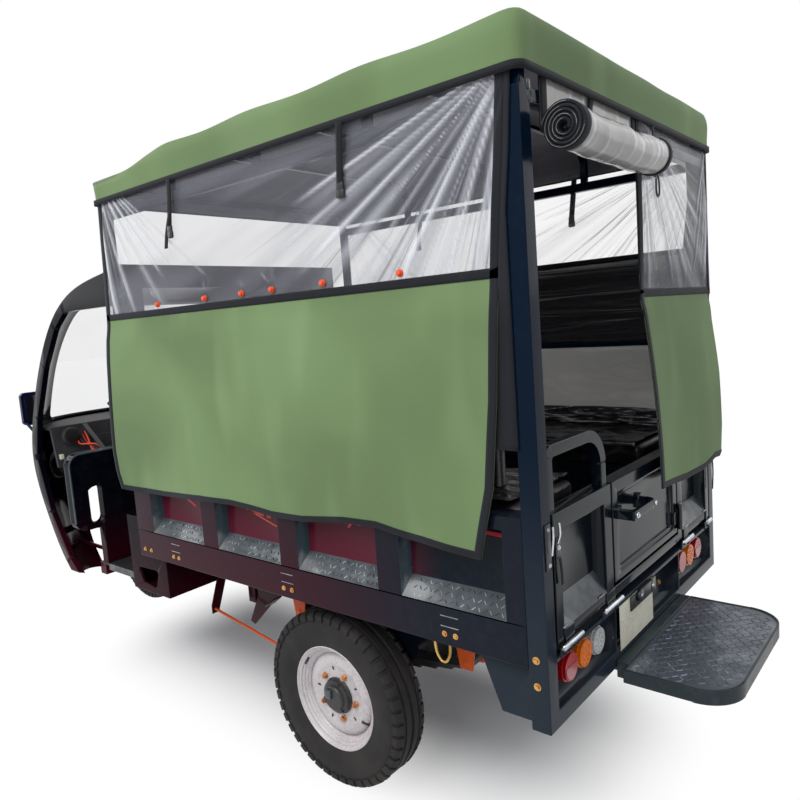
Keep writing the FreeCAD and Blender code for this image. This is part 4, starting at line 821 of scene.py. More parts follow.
# %% [markdown]
# ## Rear curtain
# The right half of the rear is a curtain too. It flares over the tailgate and bellies out past the
# corner. The left half is rolled up and tied under the roof.

# %% Rear curtain
REAR_SEAM = span("rear_curtain")[1].z
REAR_IN = [(0.86, -0.016), (1.07, -0.006), (1.19, 0.0), (1.3, 0.006), (1.41, 0.012), (1.75, 0.012),
           (1.95, 0.01)]
REAR_OUT = [(0.84, -0.6), (0.865, -0.664), (0.96, -0.686), (1.145, -0.68), (1.29, -0.65),
            (1.437, -0.63), (1.53, -0.624), (1.67, -0.621), (1.95, -0.618)]
REAR_FANS = ((16, 26, 88, 0.011, 0.1, 0.62), (9, 60, 89, 0.01, 0.06, 0.45))
REAR_HEM = [(-0.62, 0.85), (-0.5, 0.861), (-0.39, 0.848), (-0.24, 0.849), (-0.06, 0.868), (0.02, 0.874)]


def rear_curtain():
    """The film and the canvas of the rear's right half."""
    corner = (0.0, FILM_TOP)
    dice = random.Random(37)
    rays, others = (fan(dice, *row) for row in REAR_FANS)

    def film_place(u, v):
        z = REAR_SEAM + (FILM_TOP - REAR_SEAM) * v
        x = table(REAR_IN, z) * (1 - u) + table(REAR_OUT, z) * u
        crease = max(crease_at(corner, rays, -x, z), crease_at(corner, others, x + 0.62, z))
        slack = math.sin(math.pi * v) * (0.5 + 0.5 * noise.noise(Vector((x * 3.0, z * 2.0, 4.0))))
        free = smooth_step(0.0, 0.05, u) * smooth_step(1.0, 0.95, u) * smooth_step(0.03, 0.14, v)
        out = GAP + free * (0.006 * crease + 0.008 * slack)
        down = FILM_TOP - z
        return at(x, out, z), (math.atan2(down, -x), math.hypot(x, down)), min(1.0, crease)

    def canvas_place(u, v):
        z_low = table(REAR_HEM, -0.016 * (1 - u) - 0.62 * u)
        z = z_low + (REAR_SEAM - z_low) * v
        x = table(REAR_IN, z) * (1 - u) + table(REAR_OUT, z) * u
        free = 1.0 - v
        wave = math.sin(x * 11.0 + 0.6) * 0.45 + noise.noise(Vector((x * 3.5, z * 1.6, 9.0))) * 0.8
        wrap = smooth_step(0.935, 1.0, u)
        loose = smooth_step(0.0, 0.1, free)
        out = GAP + loose * (0.03 * free ** 0.8 + 0.01 * free * wave + 0.008 * math.sin(math.pi * v))
        y = max(0.004, out) - 0.05 * wrap * wrap * math.sin(math.pi * min(1.0, v * 0.9 + 0.1))
        return at(x, y, z), (-x, z), 0.0

    back = (0, 1, 0)
    bm = sheet_mesh(film_place, 96, 80, outward=back)
    clear = thicken(finished("film_rear", bm, clear_film), FILM_THICK)
    bm = sheet_mesh(canvas_place, 60, 54, outward=back)
    green = thicken(finished("curtain_rear", bm, [green_canvas, black_backing]), CANVAS_THICK, inner=1)
    edge_u = TAPE / 0.62
    runs = (
        *ends("tape_film_rear_in", "tape_film_rear_out", film_place, edge_u),
        ("tape_seam_rear", film_place, 80, 3, (0, 1), (-0.02, 0.026)),
        *ends("tape_canvas_in", "tape_canvas_out", canvas_place, edge_u),
        ("tape_hem_rear", canvas_place, 80, 3, (0, 1), (0, 0.03)),
    )
    tapes = bind("", runs, back)
    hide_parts("rear_curtain")
    for soft in [green] + tapes[3:]:
        at(-0.3, 0.02, REAR_SEAM)
        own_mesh(soft)
    print("rear curtain hangs from", round(FILM_TOP, 3), "with", len(tapes), "tapes")


rear_curtain()

# %% [markdown]
# ## Roof cover
# The cover is one sheet, stretched over the roof bows, rolled over their shoulders and closed by a band. It
# starts as a flat grid. Its border is extruded outwards and down, ring by ring, and each new ring is put on
# the outline that the cover has at that height.

# %% Roof cover
COVER_LOW, COVER_HIGH = span("canopy_roof")
COVER_FRONT = COVER_LOW.y
COVER_REAR = COVER_HIGH.y
COVER_HALF = COVER_HIGH.x
BOWS = (-1.708, -1.29, -0.86, -0.43, -0.015)
FRONT_DROP = 0.066


def crown(x, y):
    """Height of the cloth over the bows, with the sag between them and across."""
    sag = 0.0
    for ahead, behind in zip(BOWS, BOWS[1:]):
        if ahead < y < behind:
            sag = 0.009 * math.sin(math.pi * (y - ahead) / (behind - ahead)) ** 2
    drop = FRONT_DROP * smooth_step(-1.25, -1.72, y) if y < -1.25 else 0.0
    pucker = noise.noise(Vector((x * 4.0, y * 3.0, 2.0))) * 0.0012
    return COVER_HIGH.z - 0.0034 - sag * (0.4 + 0.6 * (x / COVER_HALF) ** 2) - drop + min(0.0, pucker)


def on_outline(x, y, half, front, rear, corner):
    """A point of the flat border, moved to a rounded outline."""
    middle = (front + rear) / 2
    deep = (rear - front) / 2
    px, py = x * half, y * deep
    cx = half - corner
    cy = deep - corner
    if abs(px) > cx and abs(py) > cy:
        away = Vector((abs(px) - cx, abs(py) - cy)).normalized() * corner
        px = math.copysign(cx + away.x, px)
        py = math.copysign(cy + away.y, py)
    return px, py + middle


def roof_cover():
    bm = bmesh.new()
    bmesh.ops.create_grid(bm, x_segments=72, y_segments=96, size=1.0)
    home = bm.verts.layers.float_vector.new("home")
    flat = bm.verts.layers.float_vector.new("flat")
    top_half, top_front, top_rear = COVER_HALF - 0.062, COVER_FRONT + 0.045, COVER_REAR - 0.04
    for vert in bm.verts:
        sx, sy = vert.co.x, vert.co.y
        px, py = on_outline(sx, sy, top_half, top_front, top_rear, 0.02)
        vert[home] = Vector((sx, sy, 0))
        vert[flat] = Vector((px, py, 0))
        vert.co = at(px, py, crown(px, py))
    side_top = COVER_LOW.z + 0.078
    levels = (
        (0.046, 0.992, 0.022), (0.03, 0.945, 0.026), (0.018, 0.86, 0.03), (0.009, 0.72, 0.034),
        (0.003, 0.44, 0.036), (0.0005, 0.2, 0.036), (0.0, 0.0, 0.036), (0.002, -0.3, 0.034),
        (0.004, -0.55, 0.032), (0.0045, -0.8, 0.03), (0.001, -1.0, 0.028),
    )
    edge = [e for e in bm.edges if e.is_boundary]
    for inset, rise, corner in levels:
        made = bmesh.ops.extrude_edge_only(bm, edges=edge)
        ring = [g for g in made["geom"] if isinstance(g, bmesh.types.BMVert)]
        edge = [g for g in made["geom"] if isinstance(g, bmesh.types.BMEdge) and g.is_boundary]
        for vert in ring:
            sx, sy = vert[home].x, vert[home].y
            half, front, rear = COVER_HALF - inset, COVER_FRONT + inset * 0.8, COVER_REAR - inset * 0.7
            px, py = on_outline(sx, sy, half, front, rear, corner)
            high = crown(px, py)
            z = side_top + (high - side_top if rise > 0 else side_top - COVER_LOW.z) * rise
            along = py * 5.5 if abs(sx) > abs(sy) * 0.98 else px * 5.5
            ripple = 0.0022 * noise.noise(Vector((along, z * 3.0, 6.0 + sx)))
            out = Vector((px, py - (COVER_FRONT + COVER_REAR) / 2, 0)).normalized() * ripple
            vert.co = at(px, py, z) + out
            drop = math.hypot(px - vert[flat].x, py - vert[flat].y) + high - z
            vert[flat] = vert[flat] + Vector((0, 0, drop)) if vert[flat].z == 0 else vert[flat]
    layer = bm.loops.layers.uv.new("UVMap")
    for face in bm.faces:
        for loop in face.loops:
            spot = loop.vert[flat]
            loop[layer].uv = (spot.x + spot.z * 0.3, spot.y + spot.z)
    bmesh.ops.recalc_face_normals(bm, faces=bm.faces[:])
    if max(bm.faces, key=lambda f: f.calc_center_median().z).normal.z < 0:
        bmesh.ops.reverse_faces(bm, faces=bm.faces[:])
    for layer in ("home", "flat"):
        bm.verts.layers.float_vector.remove(bm.verts.layers.float_vector[layer])
    cover = finished("roof_cover", bm, [green_canvas, grey_lining], smooth=180, replaces=["canopy_roof"])
    thicken(cover, 0.0022, inner=1, offset=-1.0)
    return cover


def band(name, height, low, inset, thick):
    """A black tape round the cover, from a low edge up by its height."""
    bm = bmesh.new()
    corners = [(-1, -1), (1, -1), (1, 1), (-1, 1)]
    ring = []
    for (x0, y0), (x1, y1) in zip(corners, corners[1:] + corners[:1]):
        for i in range(60):
            t = math.sin((i / 60 - 0.5) * math.pi) * 0.5 + 0.5
            px, py = on_outline(x0 + (x1 - x0) * t, y0 + (y1 - y0) * t, COVER_HALF - inset,
                                COVER_FRONT + inset, COVER_REAR - inset, 0.028)
            ring.append(bm.verts.new(at(px, py, low)))
    edges = [bm.edges.new((a, b)) for a, b in zip(ring, ring[1:] + ring[:1])]
    raised = bmesh.ops.extrude_edge_only(bm, edges=edges)
    upper = [g for g in raised["geom"] if isinstance(g, bmesh.types.BMVert)]
    bmesh.ops.translate(bm, verts=upper, vec=(0, 0, height))
    bmesh.ops.remove_doubles(bm, verts=bm.verts[:], dist=1e-5)
    bmesh.ops.recalc_face_normals(bm, faces=bm.faces[:])
    return thicken(finished(name, bm, black_tape, smooth=40), thick)


cover = roof_cover()
cover_tape = band("roof_tape", 0.017, COVER_LOW.z - 0.001, 0.001, 0.006)
width, length = 2 * COVER_HALF + 0.24, COVER_REAR - COVER_FRONT + 0.24
print("cover:", len(cover.data.polygons), "faces")

# %% [markdown]
# ## The rolled half
# The left rear curtain is rolled up. A roll of film is a spiral: a flat line is turned round an
# axis while it grows, and drawn out along the roof. The roll is never quite round, and it sags
# between its ties.

# %% The rolled curtain
ROLL_LOW, ROLL_HIGH = span("rear_curtain_roll")
ROLL_RADIUS = 0.052
ROLL_TURNS = 4.6
ROLL_Y = 0.0545
ROLL_Z = ROLL_LOW.z + 0.0555


def roll_radius(angle):
    return ROLL_RADIUS * (0.22 + 0.78 * angle / (2 * math.pi * ROLL_TURNS))


def roll_place(u, v):
    """Along the roll by u, and round the spiral by v, from its heart to the strip that hangs it."""
    x = ROLL_HIGH.x + (ROLL_LOW.x - ROLL_HIGH.x) * u
    wrapped = 0.9
    sag = 0.006 * math.sin(math.pi * u) + 0.004 * noise.noise(Vector((u * 5, 1, 1)))
    if v < wrapped:
        angle = 2 * math.pi * ROLL_TURNS * v / wrapped
        turn = angle - 2 * math.pi * ROLL_TURNS + math.pi
        radius = roll_radius(angle) * (1.0 + 0.05 * noise.noise(Vector((u * 7, angle * 0.7, 3.0))))
        y = ROLL_Y + radius * math.cos(turn)
        z = ROLL_Z + radius * 0.98 * math.sin(turn) - sag
    else:
        rise = (v - wrapped) / (1 - wrapped)
        start = ROLL_Z - sag
        y = ROLL_Y - ROLL_RADIUS + (0.004 - (ROLL_Y - ROLL_RADIUS)) * rise
        z = start + (FILM_TOP - start) * rise
    crease = max(0.0, noise.noise(Vector((u * 26, v * 9, 5.0)))) ** 1.5 * 1.6
    return at(x, y, z), (u * 0.6, v * 1.4), min(1.0, crease)


def rolled_curtain():
    bm = sheet_mesh(roll_place, 90, 260, outward=(0, 0, 1))
    made = finished("rear_roll", bm, rolled_film, smooth=180, replaces=["rear_curtain_roll"])
    thicken(made, 0.0009)
    for name, u in (("roll_edge_left", (0.0, 0.05)), ("roll_edge_right", (0.965, 1.0))):
        rim = finished(name, sheet_mesh(roll_place, 3, 260, u, (0, 1), (0, 0, 1)), black_tape, smooth=180)
        thicken(rim, 0.0064)
    return made


rolled_curtain()

# %% [markdown]
# ## Tyres
# A tyre is a profile turned round the axle. The tread's shoulder has short bars with open slots
# between them, so every other pair of faces in that band is inset and pushed outwards. Three
# grooves run round the middle.

# %% Tyres
BARS = 44
SLICES = 4
BEAD_RADIUS = 0.157


def tyre_profile(radius, half, seat):
    """Half of the tyre's outline, from the bead to the middle of the tread, as (across, out)."""
    waist = seat + (radius - seat) * 0.46
    shoulder = radius - 0.0085
    return [
        (half * 0.7, seat - 0.004), (half * 0.78, seat + 0.003), (half * 0.83, seat + 0.013),
        (half * 0.9, seat + 0.024), (half * 0.975, waist - 0.016), (half * 0.992, waist),
        (half * 0.985, waist + 0.016), (half * 0.965, waist + 0.03), (half * 0.95, shoulder - 0.022),
        (half * 0.935, shoulder - 0.019), (half * 0.915, shoulder - 0.004), (half * 0.83, shoulder + 0.0015),
        (half * 0.62, radius - 0.0035), (half * 0.535, radius - 0.0012),
        (half * 0.5, radius - 0.0075), (half * 0.455, radius - 0.0075), (half * 0.42, radius - 0.0008),
        (half * 0.115, radius - 0.0002), (half * 0.08, radius - 0.007), (0.0, radius - 0.007),
    ]


def spun(bm, outline, centre, steps):
    """Turns a line of vertices and edges round the axle, and closes the form."""
    bmesh.ops.spin(bm, geom=outline, cent=centre, axis=(1, 0, 0), angle=2 * math.pi, steps=steps,
                   use_merge=True)
    bmesh.ops.remove_doubles(bm, verts=bm.verts[:], dist=1e-6)
    bmesh.ops.recalc_face_normals(bm, faces=bm.faces[:])


def tyre(node, body, centre, radius, width):
    """A turned tyre whose shoulder bars are raised, those of the two sides half a pitch apart."""
    half = tyre_profile(radius, width / 2, BEAD_RADIUS)
    outline = half + [(-x, r) for x, r in reversed(half[:-1])]
    bm = bmesh.new()
    verts = [bm.verts.new(centre + Vector((x, 0, r))) for x, r in outline]
    spun(bm, verts + [bm.edges.new(pair) for pair in zip(verts, verts[1:])], centre, BARS * SLICES)
    low, high = radius - 0.0285, radius - 0.0042
    step = 2 * math.pi / (BARS * SLICES)
    chosen = {}
    for face in bm.faces:
        spot = face.calc_center_median() - centre
        if not (low < math.hypot(spot.y, spot.z) < high and abs(spot.x) > width * 0.5 * 0.6):
            continue
        slice_at = int(((math.atan2(spot.z, spot.y) + 2 * math.pi) % (2 * math.pi)) / step)
        side = 1 if spot.x > 0 else -1
        slot = (slice_at + (SLICES // 2 if side < 0 else 0)) % (BARS * SLICES)
        if slot % SLICES != 0:
            chosen.setdefault((side, slot // SLICES), []).append(face)
    for faces in chosen.values():
        bmesh.ops.inset_region(bm, faces=faces, thickness=0.0012, depth=0.0052, use_even_offset=True,
                               use_boundary=True)
    bmesh.ops.recalc_face_normals(bm, faces=bm.faces[:])
    finished(node.replace("tyre", "tread"), bm, tyre_rubber, body, smooth=38, replaces=[node])


for node in ("rear_tyre_left", "rear_tyre_right", "front_tyre"):
    low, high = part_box(node)
    tyre(node, node.replace("tyre", "wheel"), (low + high) / 2, (high.z - low.z) / 2, high.x - low.x)
print("bars on each shoulder:", BARS)

# %% [markdown]
# ## Cushions
# A cushion is a crowned closed form: it starts as a box with rounded edges, is divided finely, and
# every point is pushed out by how far it lies from the seams. Its underside stays flat on the board
# that carries it, and shallow channels are sewn across the top.

# %% Cushions
CUSHION_CUT = 0.016
CHANNEL_HALF = 0.007
SEAM_DRAW = 0.004


def everything(bm):
    """All that a cut needs to be given."""
    return bm.verts[:] + bm.edges[:] + bm.faces[:]


def cushion(name, node, low, high, finish, channels, sense=1, up=2, dome=0.008, ends=None):
    """A padded block between two corners: up is the axis that faces the sitter, sense its direction and
    ends a second finish for the short sides and the rear."""
    bm = bmesh.new()
    bmesh.ops.create_cube(bm, size=1.0)
    size = high - low
    middle = (low + high) / 2
    bmesh.ops.scale(bm, vec=size, verts=bm.verts[:])
    bmesh.ops.translate(bm, vec=middle, verts=bm.verts[:])
    bmesh.ops.bevel(bm, geom=bm.edges[:], offset=min(size) * 0.3, segments=4, profile=0.5, affect="EDGES",
                    material=-1)
    for axis in range(3):
        cuts = max(1, int(size[axis] / CUSHION_CUT))
        plane = Vector((0, 0, 0))
        plane[axis] = 1.0
        for i in range(1, cuts):
            spot = low + plane * size[axis] * i / cuts
            bmesh.ops.bisect_plane(bm, geom=everything(bm), dist=1e-5, plane_co=spot, plane_no=plane)
    others = [axis for axis in range(3) if axis != up]
    for vert in bm.verts:
        share = [2 * (vert.co[a] - middle[a]) / size[a] for a in range(3)]
        face_share = max(0.0, share[up] * sense)
        fall = (1 - share[others[0]] ** 4) * (1 - share[others[1]] ** 4)
        lift = dome * fall * face_share
        for axis, place, depth in channels:
            lift -= depth * face_share * math.exp(-((vert.co[axis] - place) / CHANNEL_HALF) ** 2)
        wrinkle = noise.noise(vert.co * 9.0) * 0.0016 + noise.noise(vert.co * 31.0) * 0.0006
        vert.co[up] += sense * (lift - dome + wrinkle * face_share)
        for a in others:
            pull = SEAM_DRAW * math.sin(math.pi * (share[up] * 0.5 + 0.5)) * (abs(share[a]) ** 6)
            vert.co[a] -= math.copysign(SEAM_DRAW - pull, share[a]) * abs(share[a]) ** 6
    if ends:
        for face in bm.faces:
            spot = face.calc_center_median()
            behind = (spot[up] - middle[up]) * sense < -size[up] * 0.2
            face.material_index = int(behind or min(spot.y - low.y, high.y - spot.y) < 0.014)
    made = finished(name, bm, [finish] + ([ends] if ends else []), smooth=180, replaces=[node])


def halves(node):
    """The left half of a node that has one solid on each side."""
    low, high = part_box(node)
    inner = min(abs(v.co.x) for v in NODES[node].data.vertices)
    return Vector((inner, low.y, low.z)), high


def across(corners, sign):
    """Two corners, mirrored to the right where sign is -1, as the lowest and the highest."""
    turned = [Vector((sign * c.x, c.y, c.z)) for c in corners]
    return Vector(map(min, *turned)), Vector(map(max, *turned))


seat = halves("bench_cushions")
back = halves("bench_backs")
seams = [(1, seat[0].y + (seat[1].y - seat[0].y) * i / 3, 0.006) for i in (1, 2)]
for sign, word in SIDES.items():
    cushion("bench_seat_" + word, "bench_cushions", *across(seat, sign), seat_vinyl, seams, dome=0.01)
    cushion("bench_back_" + word, "bench_backs", *across(back, sign), seat_grey, seams, -sign, 0, 0.006,
            seat_vinyl)
cushion("driver_pad", "driver_seat", *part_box("driver_seat"), seat_vinyl, [(0, -0.1, 0.006), (0, 0.1, 0.006)],
        dome=0.014)
low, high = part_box("driver_backrest")
seams = [(2, low.z + 0.1, 0.005), (2, low.z + 0.2, 0.005)]
cushion("driver_back", "driver_backrest", low, high, seat_vinyl, seams, -1, 1, 0.01)
print("cushions made")

# %% [markdown]
# ## Rounded edges
# A drawn solid has edges of no width, and an edge of no width takes no highlight. So each painted
# part is copied, its loose triangles are merged, and its outer edges are bevelled. While the faces
# are at hand, a rule may give some of them a second finish.

# %% Rounded edges
LEAST_EDGE = 0.012
LEAST_ANGLE = math.radians(40)


def local(point):
    """A point of the frame, measured from the posts' rear face."""
    return Vector((point.x, point.y - REAR_FACE, point.z))


def softened(node, finishes, width=0.002, pick=None, settle=None):
    """A copy of a drawn part with rounded outer edges. pick(place, normal) says which finish a face gets."""
    bm = bmesh.new()
    bm.from_mesh(NODES[node].data)
    bmesh.ops.remove_doubles(bm, verts=bm.verts[:], dist=2e-5)
    bm.normal_update()
    for face in bm.faces:
        face.material_index = int(pick(local(face.calc_center_median()), face.normal)) if pick else 0
    sharp = [edge for edge in bm.edges if len(edge.link_faces) == 2 and edge.is_convex
             and edge.calc_length() > LEAST_EDGE and edge.calc_face_angle(0.0) > LEAST_ANGLE]
    bmesh.ops.bevel(bm, geom=sharp, offset=width, offset_type="OFFSET", segments=2, profile=0.5,
                    affect="EDGES", clamp_overlap=False, material=-1)
    made = finished(node + "_soft", bm, finishes, NODES[node]["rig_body"], smooth=50, replaces=[node])
    if settle:
        for vert in made.data.vertices:
            if vert.co.z > settle:
                vert.co.z = settle + (vert.co.z - settle) * 0.6
    weighted = made.modifiers.new("normals", "WEIGHTED_NORMAL")
    weighted.keep_sharp = True


# %% [markdown]
# Which faces get the second finish is a question of where they lie. The ledges under the side bays are pale
# chequered plate, the ends of the pillars catch the light and get a lighter paint, a painted highlight, and a
# hinge's knuckles are chromed, so they are found by their distance from the hinge's line. The roof rails
# settle by a few millimetres above a height, which keeps them clear of the thin cover.

# %% Painted parts
HINGE_Y, HINGE_Z, HINGE_REACH = 0.009, 0.63, 0.0086
DOOR_HINGE_X = -0.249
RAIL_TOP = 2.0
BAY_PITCH, BAY_LENGTH = 0.397, 0.315
BAYS = [(-0.103 - BAY_PITCH * i, -0.103 - BAY_PITCH * i - BAY_LENGTH) for i in range(4)]


def side_rule(place, normal):
    """In the bays: the ledge's foot is 1, the end walls, which get a painted highlight, are 2 and the back
    panel is 3.
    """
    inside = 0.578 < abs(place.x) < 0.6285 and 0.688 < place.z < 0.915
    if inside and normal.z > 0.5 and place.z < 0.75:
        return 1
    if inside and abs(normal.x) > 0.7 and abs(place.x) < 0.6:
        return 3
    return 2 if inside and abs(normal.y) > 0.7 else 0


def on_gate_hinge(place, normal=None):
    return math.hypot(place.y - HINGE_Y, place.z - HINGE_Z) < HINGE_REACH


def on_door_hinge(place, normal=None):
    return math.hypot(place.x - DOOR_HINGE_X, place.y - HINGE_Y) < HINGE_REACH


def gate_rule(place, normal):
    """The gate's knuckles are 1, the door's hinge with its leaf is 2 and the foot's slope is 3."""
    if on_gate_hinge(place):
        return 1
    if on_door_hinge(place) or (place.y > 0.0005 and -0.292 < place.x < -0.2 and place.z > 0.66):
        return 2
    return 3 if normal.z > 0.4 and 0.29 < abs(place.x) < 0.545 and 0.66 < place.z < 0.73 else 0


def step_rule(place, normal):
    return normal.z > 0.9 and place.z < 0.4535


def hanger_rule(place, normal):
    """The spring hangers at both ends of the springs are orange."""
    near = any(abs(place.y - end) < 0.075 for end in (-0.412, -1.132))
    return near and 0.3 < abs(place.x) < 0.4 and place.z < 0.509


# The bays' end walls take the lighter paint, a painted highlight.
softened("drop_sides", [side_paint, ledge_metal, lit_end_paint, panel_paint], 0.0025, side_rule)
softened("side_beams", [side_paint], 0.003)
softened("rear_frame", [post_paint, chrome], 0.0025, on_gate_hinge, RAIL_TOP)
softened("tailgate", [body_paint, chrome, hinge_black, ledge_metal], 0.0025, gate_rule)
softened("tailgate_door", [body_paint, hinge_black], 0.0025, on_door_hinge)
softened("step_plate", [step_rim, step_metal], 0.0022, step_rule)
softened("front_board", [body_paint], 0.002)
softened("chassis_frame", [frame_paint, orange_paint], 0.0015, hanger_rule)
softened("canopy_frame", [post_paint], 0.003, settle=RAIL_TOP)
for node, finish, width in (("benches", body_paint, 0.002), ("seat_box", cab_paint, 0.0025),
                            ("leg_shield", cab_paint, 0.002), ("cab_frame", cab_paint, 0.0015),
                            ("front_fairing", cab_paint, 0.0015), ("cab_floor", floor_metal, 0.0015),
                            ("dash_panel", dash_plastic, 0.002), ("mirrors", mirror_shell, 0.002),
                            ("battery_pack", black_plastic, 0.004)):
    softened(node, [finish], width)

# %% [markdown]
# ## Small hard parts
# Bolts, bars and blocks are built the same way: a small form in a mesh of its own, its rims
# bevelled, is moved to its place and joined to a larger mesh. A hexagon is a bar with six sides.
# A function that fills such a mesh has a line above it that names the piece, its finishes and the
# body it moves with, and makes the piece at once.

# %% Blocks, bars and bolts
def join(bm, part, matrix, slot=0):
    """Moves a small bmesh by a matrix and adds it to a larger one."""
    for face in part.faces:
        face.material_index = slot
    bmesh.ops.transform(part, matrix=matrix, verts=part.verts[:])
    mesh = bpy.data.meshes.new("part")
    part.to_mesh(mesh)
    part.free()
    bm.from_mesh(mesh)
    bpy.data.meshes.remove(mesh)


def fitting(name, finishes, body="root", smooth=50):
    """Makes a piece from a function that fills an empty mesh."""
    def make(fill):
        bm = bmesh.new()
        fill(bm)
        print(name, "has", len(bm.faces), "faces")
        return finished(name, bm, finishes, body, smooth)
    return make


def rounded(bm, edges, offset, segments=2):
    bmesh.ops.bevel(bm, geom=edges, offset=offset, segments=segments, profile=0.5, affect="EDGES",
                    material=-1)


def block(bm, low, high, edge=0.0012, slot=0, turn=None, segments=2):
    """A bevelled block between two opposite corners, turned about its middle."""
    part = bmesh.new()
    bmesh.ops.create_cube(part, size=1.0)
    bmesh.ops.scale(part, vec=[abs(side) for side in high - low], verts=part.verts[:])
    rounded(part, part.edges[:], edge, segments)
    matrix = Matrix.Translation((low + high) / 2)
    join(bm, part, matrix @ turn if turn else matrix, slot)


def lump(bm, middle, half, edge, slot=0, turn=None):
    """A block about its middle."""
    block(bm, middle - Vector(half), middle + Vector(half), edge, slot, turn)


def toward(direction):
    """The turn that takes the Z axis to a direction."""
    return direction.to_track_quat("Z", "Y").to_matrix().to_4x4()


def bar(bm, start, end, radius, tip=0.0006, sides=20, slot=0, far=None):
    """A round bar between two points, its rims bevelled. far is the radius at its end."""
    part = bmesh.new()
    far = radius if far is None else far
    length = (end - start).length
    bmesh.ops.create_cone(part, cap_ends=True, segments=sides, radius1=radius, radius2=far, depth=length)
    rounded(part, [e for e in part.edges if abs(e.verts[0].co.z - e.verts[1].co.z) < 1e-6], tip)
    turn = toward(end - start)
    join(bm, part, Matrix.Translation((start + end) / 2) @ turn, slot)


def bolt(bm, place, out, size=0.006, slot=0):
    """A hexagon head on a washer."""
    out = Vector(out)
    bar(bm, place, place + out * 0.0013, size * 1.5, 0.0003, 24, slot)
    bar(bm, place + out * 0.0011, place + out * (0.0011 + size * 0.8), size, 0.0007, 6, slot)


def tube(bm, points, radius, sides=12, slot=0):
    """A bent bar through a line of points: a ring at each, joined to the next."""
    part = bmesh.new()
    rings = []
    for i, point in enumerate(points):
        ahead = points[min(i + 1, len(points) - 1)] - points[max(i - 1, 0)]
        ring = bmesh.ops.create_circle(part, segments=sides, radius=radius)["verts"]
        bmesh.ops.transform(part, matrix=Matrix.Translation(point) @ toward(ahead), verts=ring)
        rings.append(ring)
    for ring, following in zip(rings, rings[1:]):
        shift = min(range(sides), key=lambda s: (following[s].co - ring[0].co).length)
        following = following[shift:] + following[:shift]
        for k in range(sides):
            after = (k + 1) % sides
            part.faces.new((ring[k], ring[after], following[after], following[k]))
    part.faces.new(rings[0])
    part.faces.new(rings[-1])
    bmesh.ops.recalc_face_normals(part, faces=part.faces[:])
    join(bm, part, Matrix(), slot)


def curve(points, steps=6):
    """A smooth line through a few points."""
    ends = [points[0]] + list(points) + [points[-1]]
    line = []
    for a, b, c, d in zip(ends, ends[1:], ends[2:], ends[3:]):
        for i in range(steps):
            t = i / steps
            bend = (2 * a - 5 * b + 4 * c - d) * t * t + (3 * b - a - 3 * c + d) * t ** 3
            line.append(0.5 * (2 * b + (c - a) * t + bend))
    return line + [points[-1]]


def strap(name, points, across, width, body="root"):
    """A flat strap along a line of points, as a sheet of webbing."""
    line = curve(points)
    lengths = [0.0]
    for a, b in zip(line, line[1:]):
        lengths.append(lengths[-1] + (b - a).length)
    half = Vector(across).normalized() * width / 2

    def place(u, v):
        reach = lengths[-1] * min(1.0, max(0.0, v))
        i = max(k for k in range(len(line) - 1) if lengths[k] <= reach + 1e-9)
        share = (reach - lengths[i]) / max(1e-9, lengths[i + 1] - lengths[i])
        spot = line[i].lerp(line[i + 1], share)
        return spot + half * (2 * u - 1), (u * width, reach), 0.0

    ahead = (line[1] - line[0]).cross(half)
    bm = sheet_mesh(place, 3, max(6, 2 * len(line)), outward=ahead)
    made = thicken(finished(name, bm, webbing, body), CANVAS_THICK)


# %% [markdown]
# ## Fasteners and marks on the body
# Yellow zinc bolts hold the beams and posts, two slots over each pair show as light lines, and a
# tie hook of brass rod hangs under each side. The red stripes are thin raised bars in the bays.

# %% Body fasteners
BEAM_BOLTS = ((-1.681, -1.639), (-1.49, -1.457), (-0.892, -0.855), (-0.285, -0.252))
POST_BOLTS = ((-0.029, 0.617), (-0.029, 0.554))
HOOK_LINE = ((-0.328, 0.592), (-0.324, 0.56), (-0.312, 0.54), (-0.302, 0.536), (-0.292, 0.541),
             (-0.282, 0.562), (-0.28, 0.592))


@fitting("body_bolts", zinc, smooth=35)
def body_fasteners(bm):
    for sign in (1, -1):
        for pair in BEAM_BOLTS:
            for y in pair:
                bolt(bm, at(sign * FACE, y, 0.62), (sign, 0, 0), 0.0052)
        for y, z in POST_BOLTS:
            bolt(bm, at(sign * FACE, y, z), (sign, 0, 0), 0.0062)


@fitting("beam_marks", bare_steel, smooth=35)
def beam_marks(bm):
    for sign in (1, -1):
        for pair in BEAM_BOLTS[1:]:
            middle = sum(pair) / 2
            for z in (0.64, 0.667):
                block(bm, at(sign * FACE - 0.0005, middle - 0.027, z - 0.0012),
                      at(sign * FACE + 0.0012, middle + 0.027, z + 0.0012), 0.0005)


@fitting("tie_hooks", brass, smooth=60)
def tie_hooks(bm):
    for sign in (1, -1):
        line = [at(sign * (FACE - 0.012), y, z) for y, z in HOOK_LINE]
        tube(bm, curve(line, 4), 0.0035, 10)


STRIPES = (
    (((-1.545, 0.872), (-1.395, 0.806), 0.01, 0),),
    (((-1.165, 0.888), (-1.085, 0.826), 0.013, 0), ((-1.085, 0.826), (-1.02, 0.82), 0.01, 0),
     ((-1.005, 0.818), (-0.985, 0.817), 0.01, 0), ((-1.16, 0.846), (-0.96, 0.79), 0.004, 1)),
    (((-0.775, 0.868), (-0.64, 0.852), 0.012, 0), ((-0.62, 0.848), (-0.596, 0.846), 0.01, 0),
     ((-0.645, 0.872), (-0.625, 0.85), 0.008, 0), ((-0.645, 0.83), (-0.625, 0.85), 0.008, 0)),
    (((-0.215, 0.884), (-0.13, 0.88), 0.01, 0),),
)


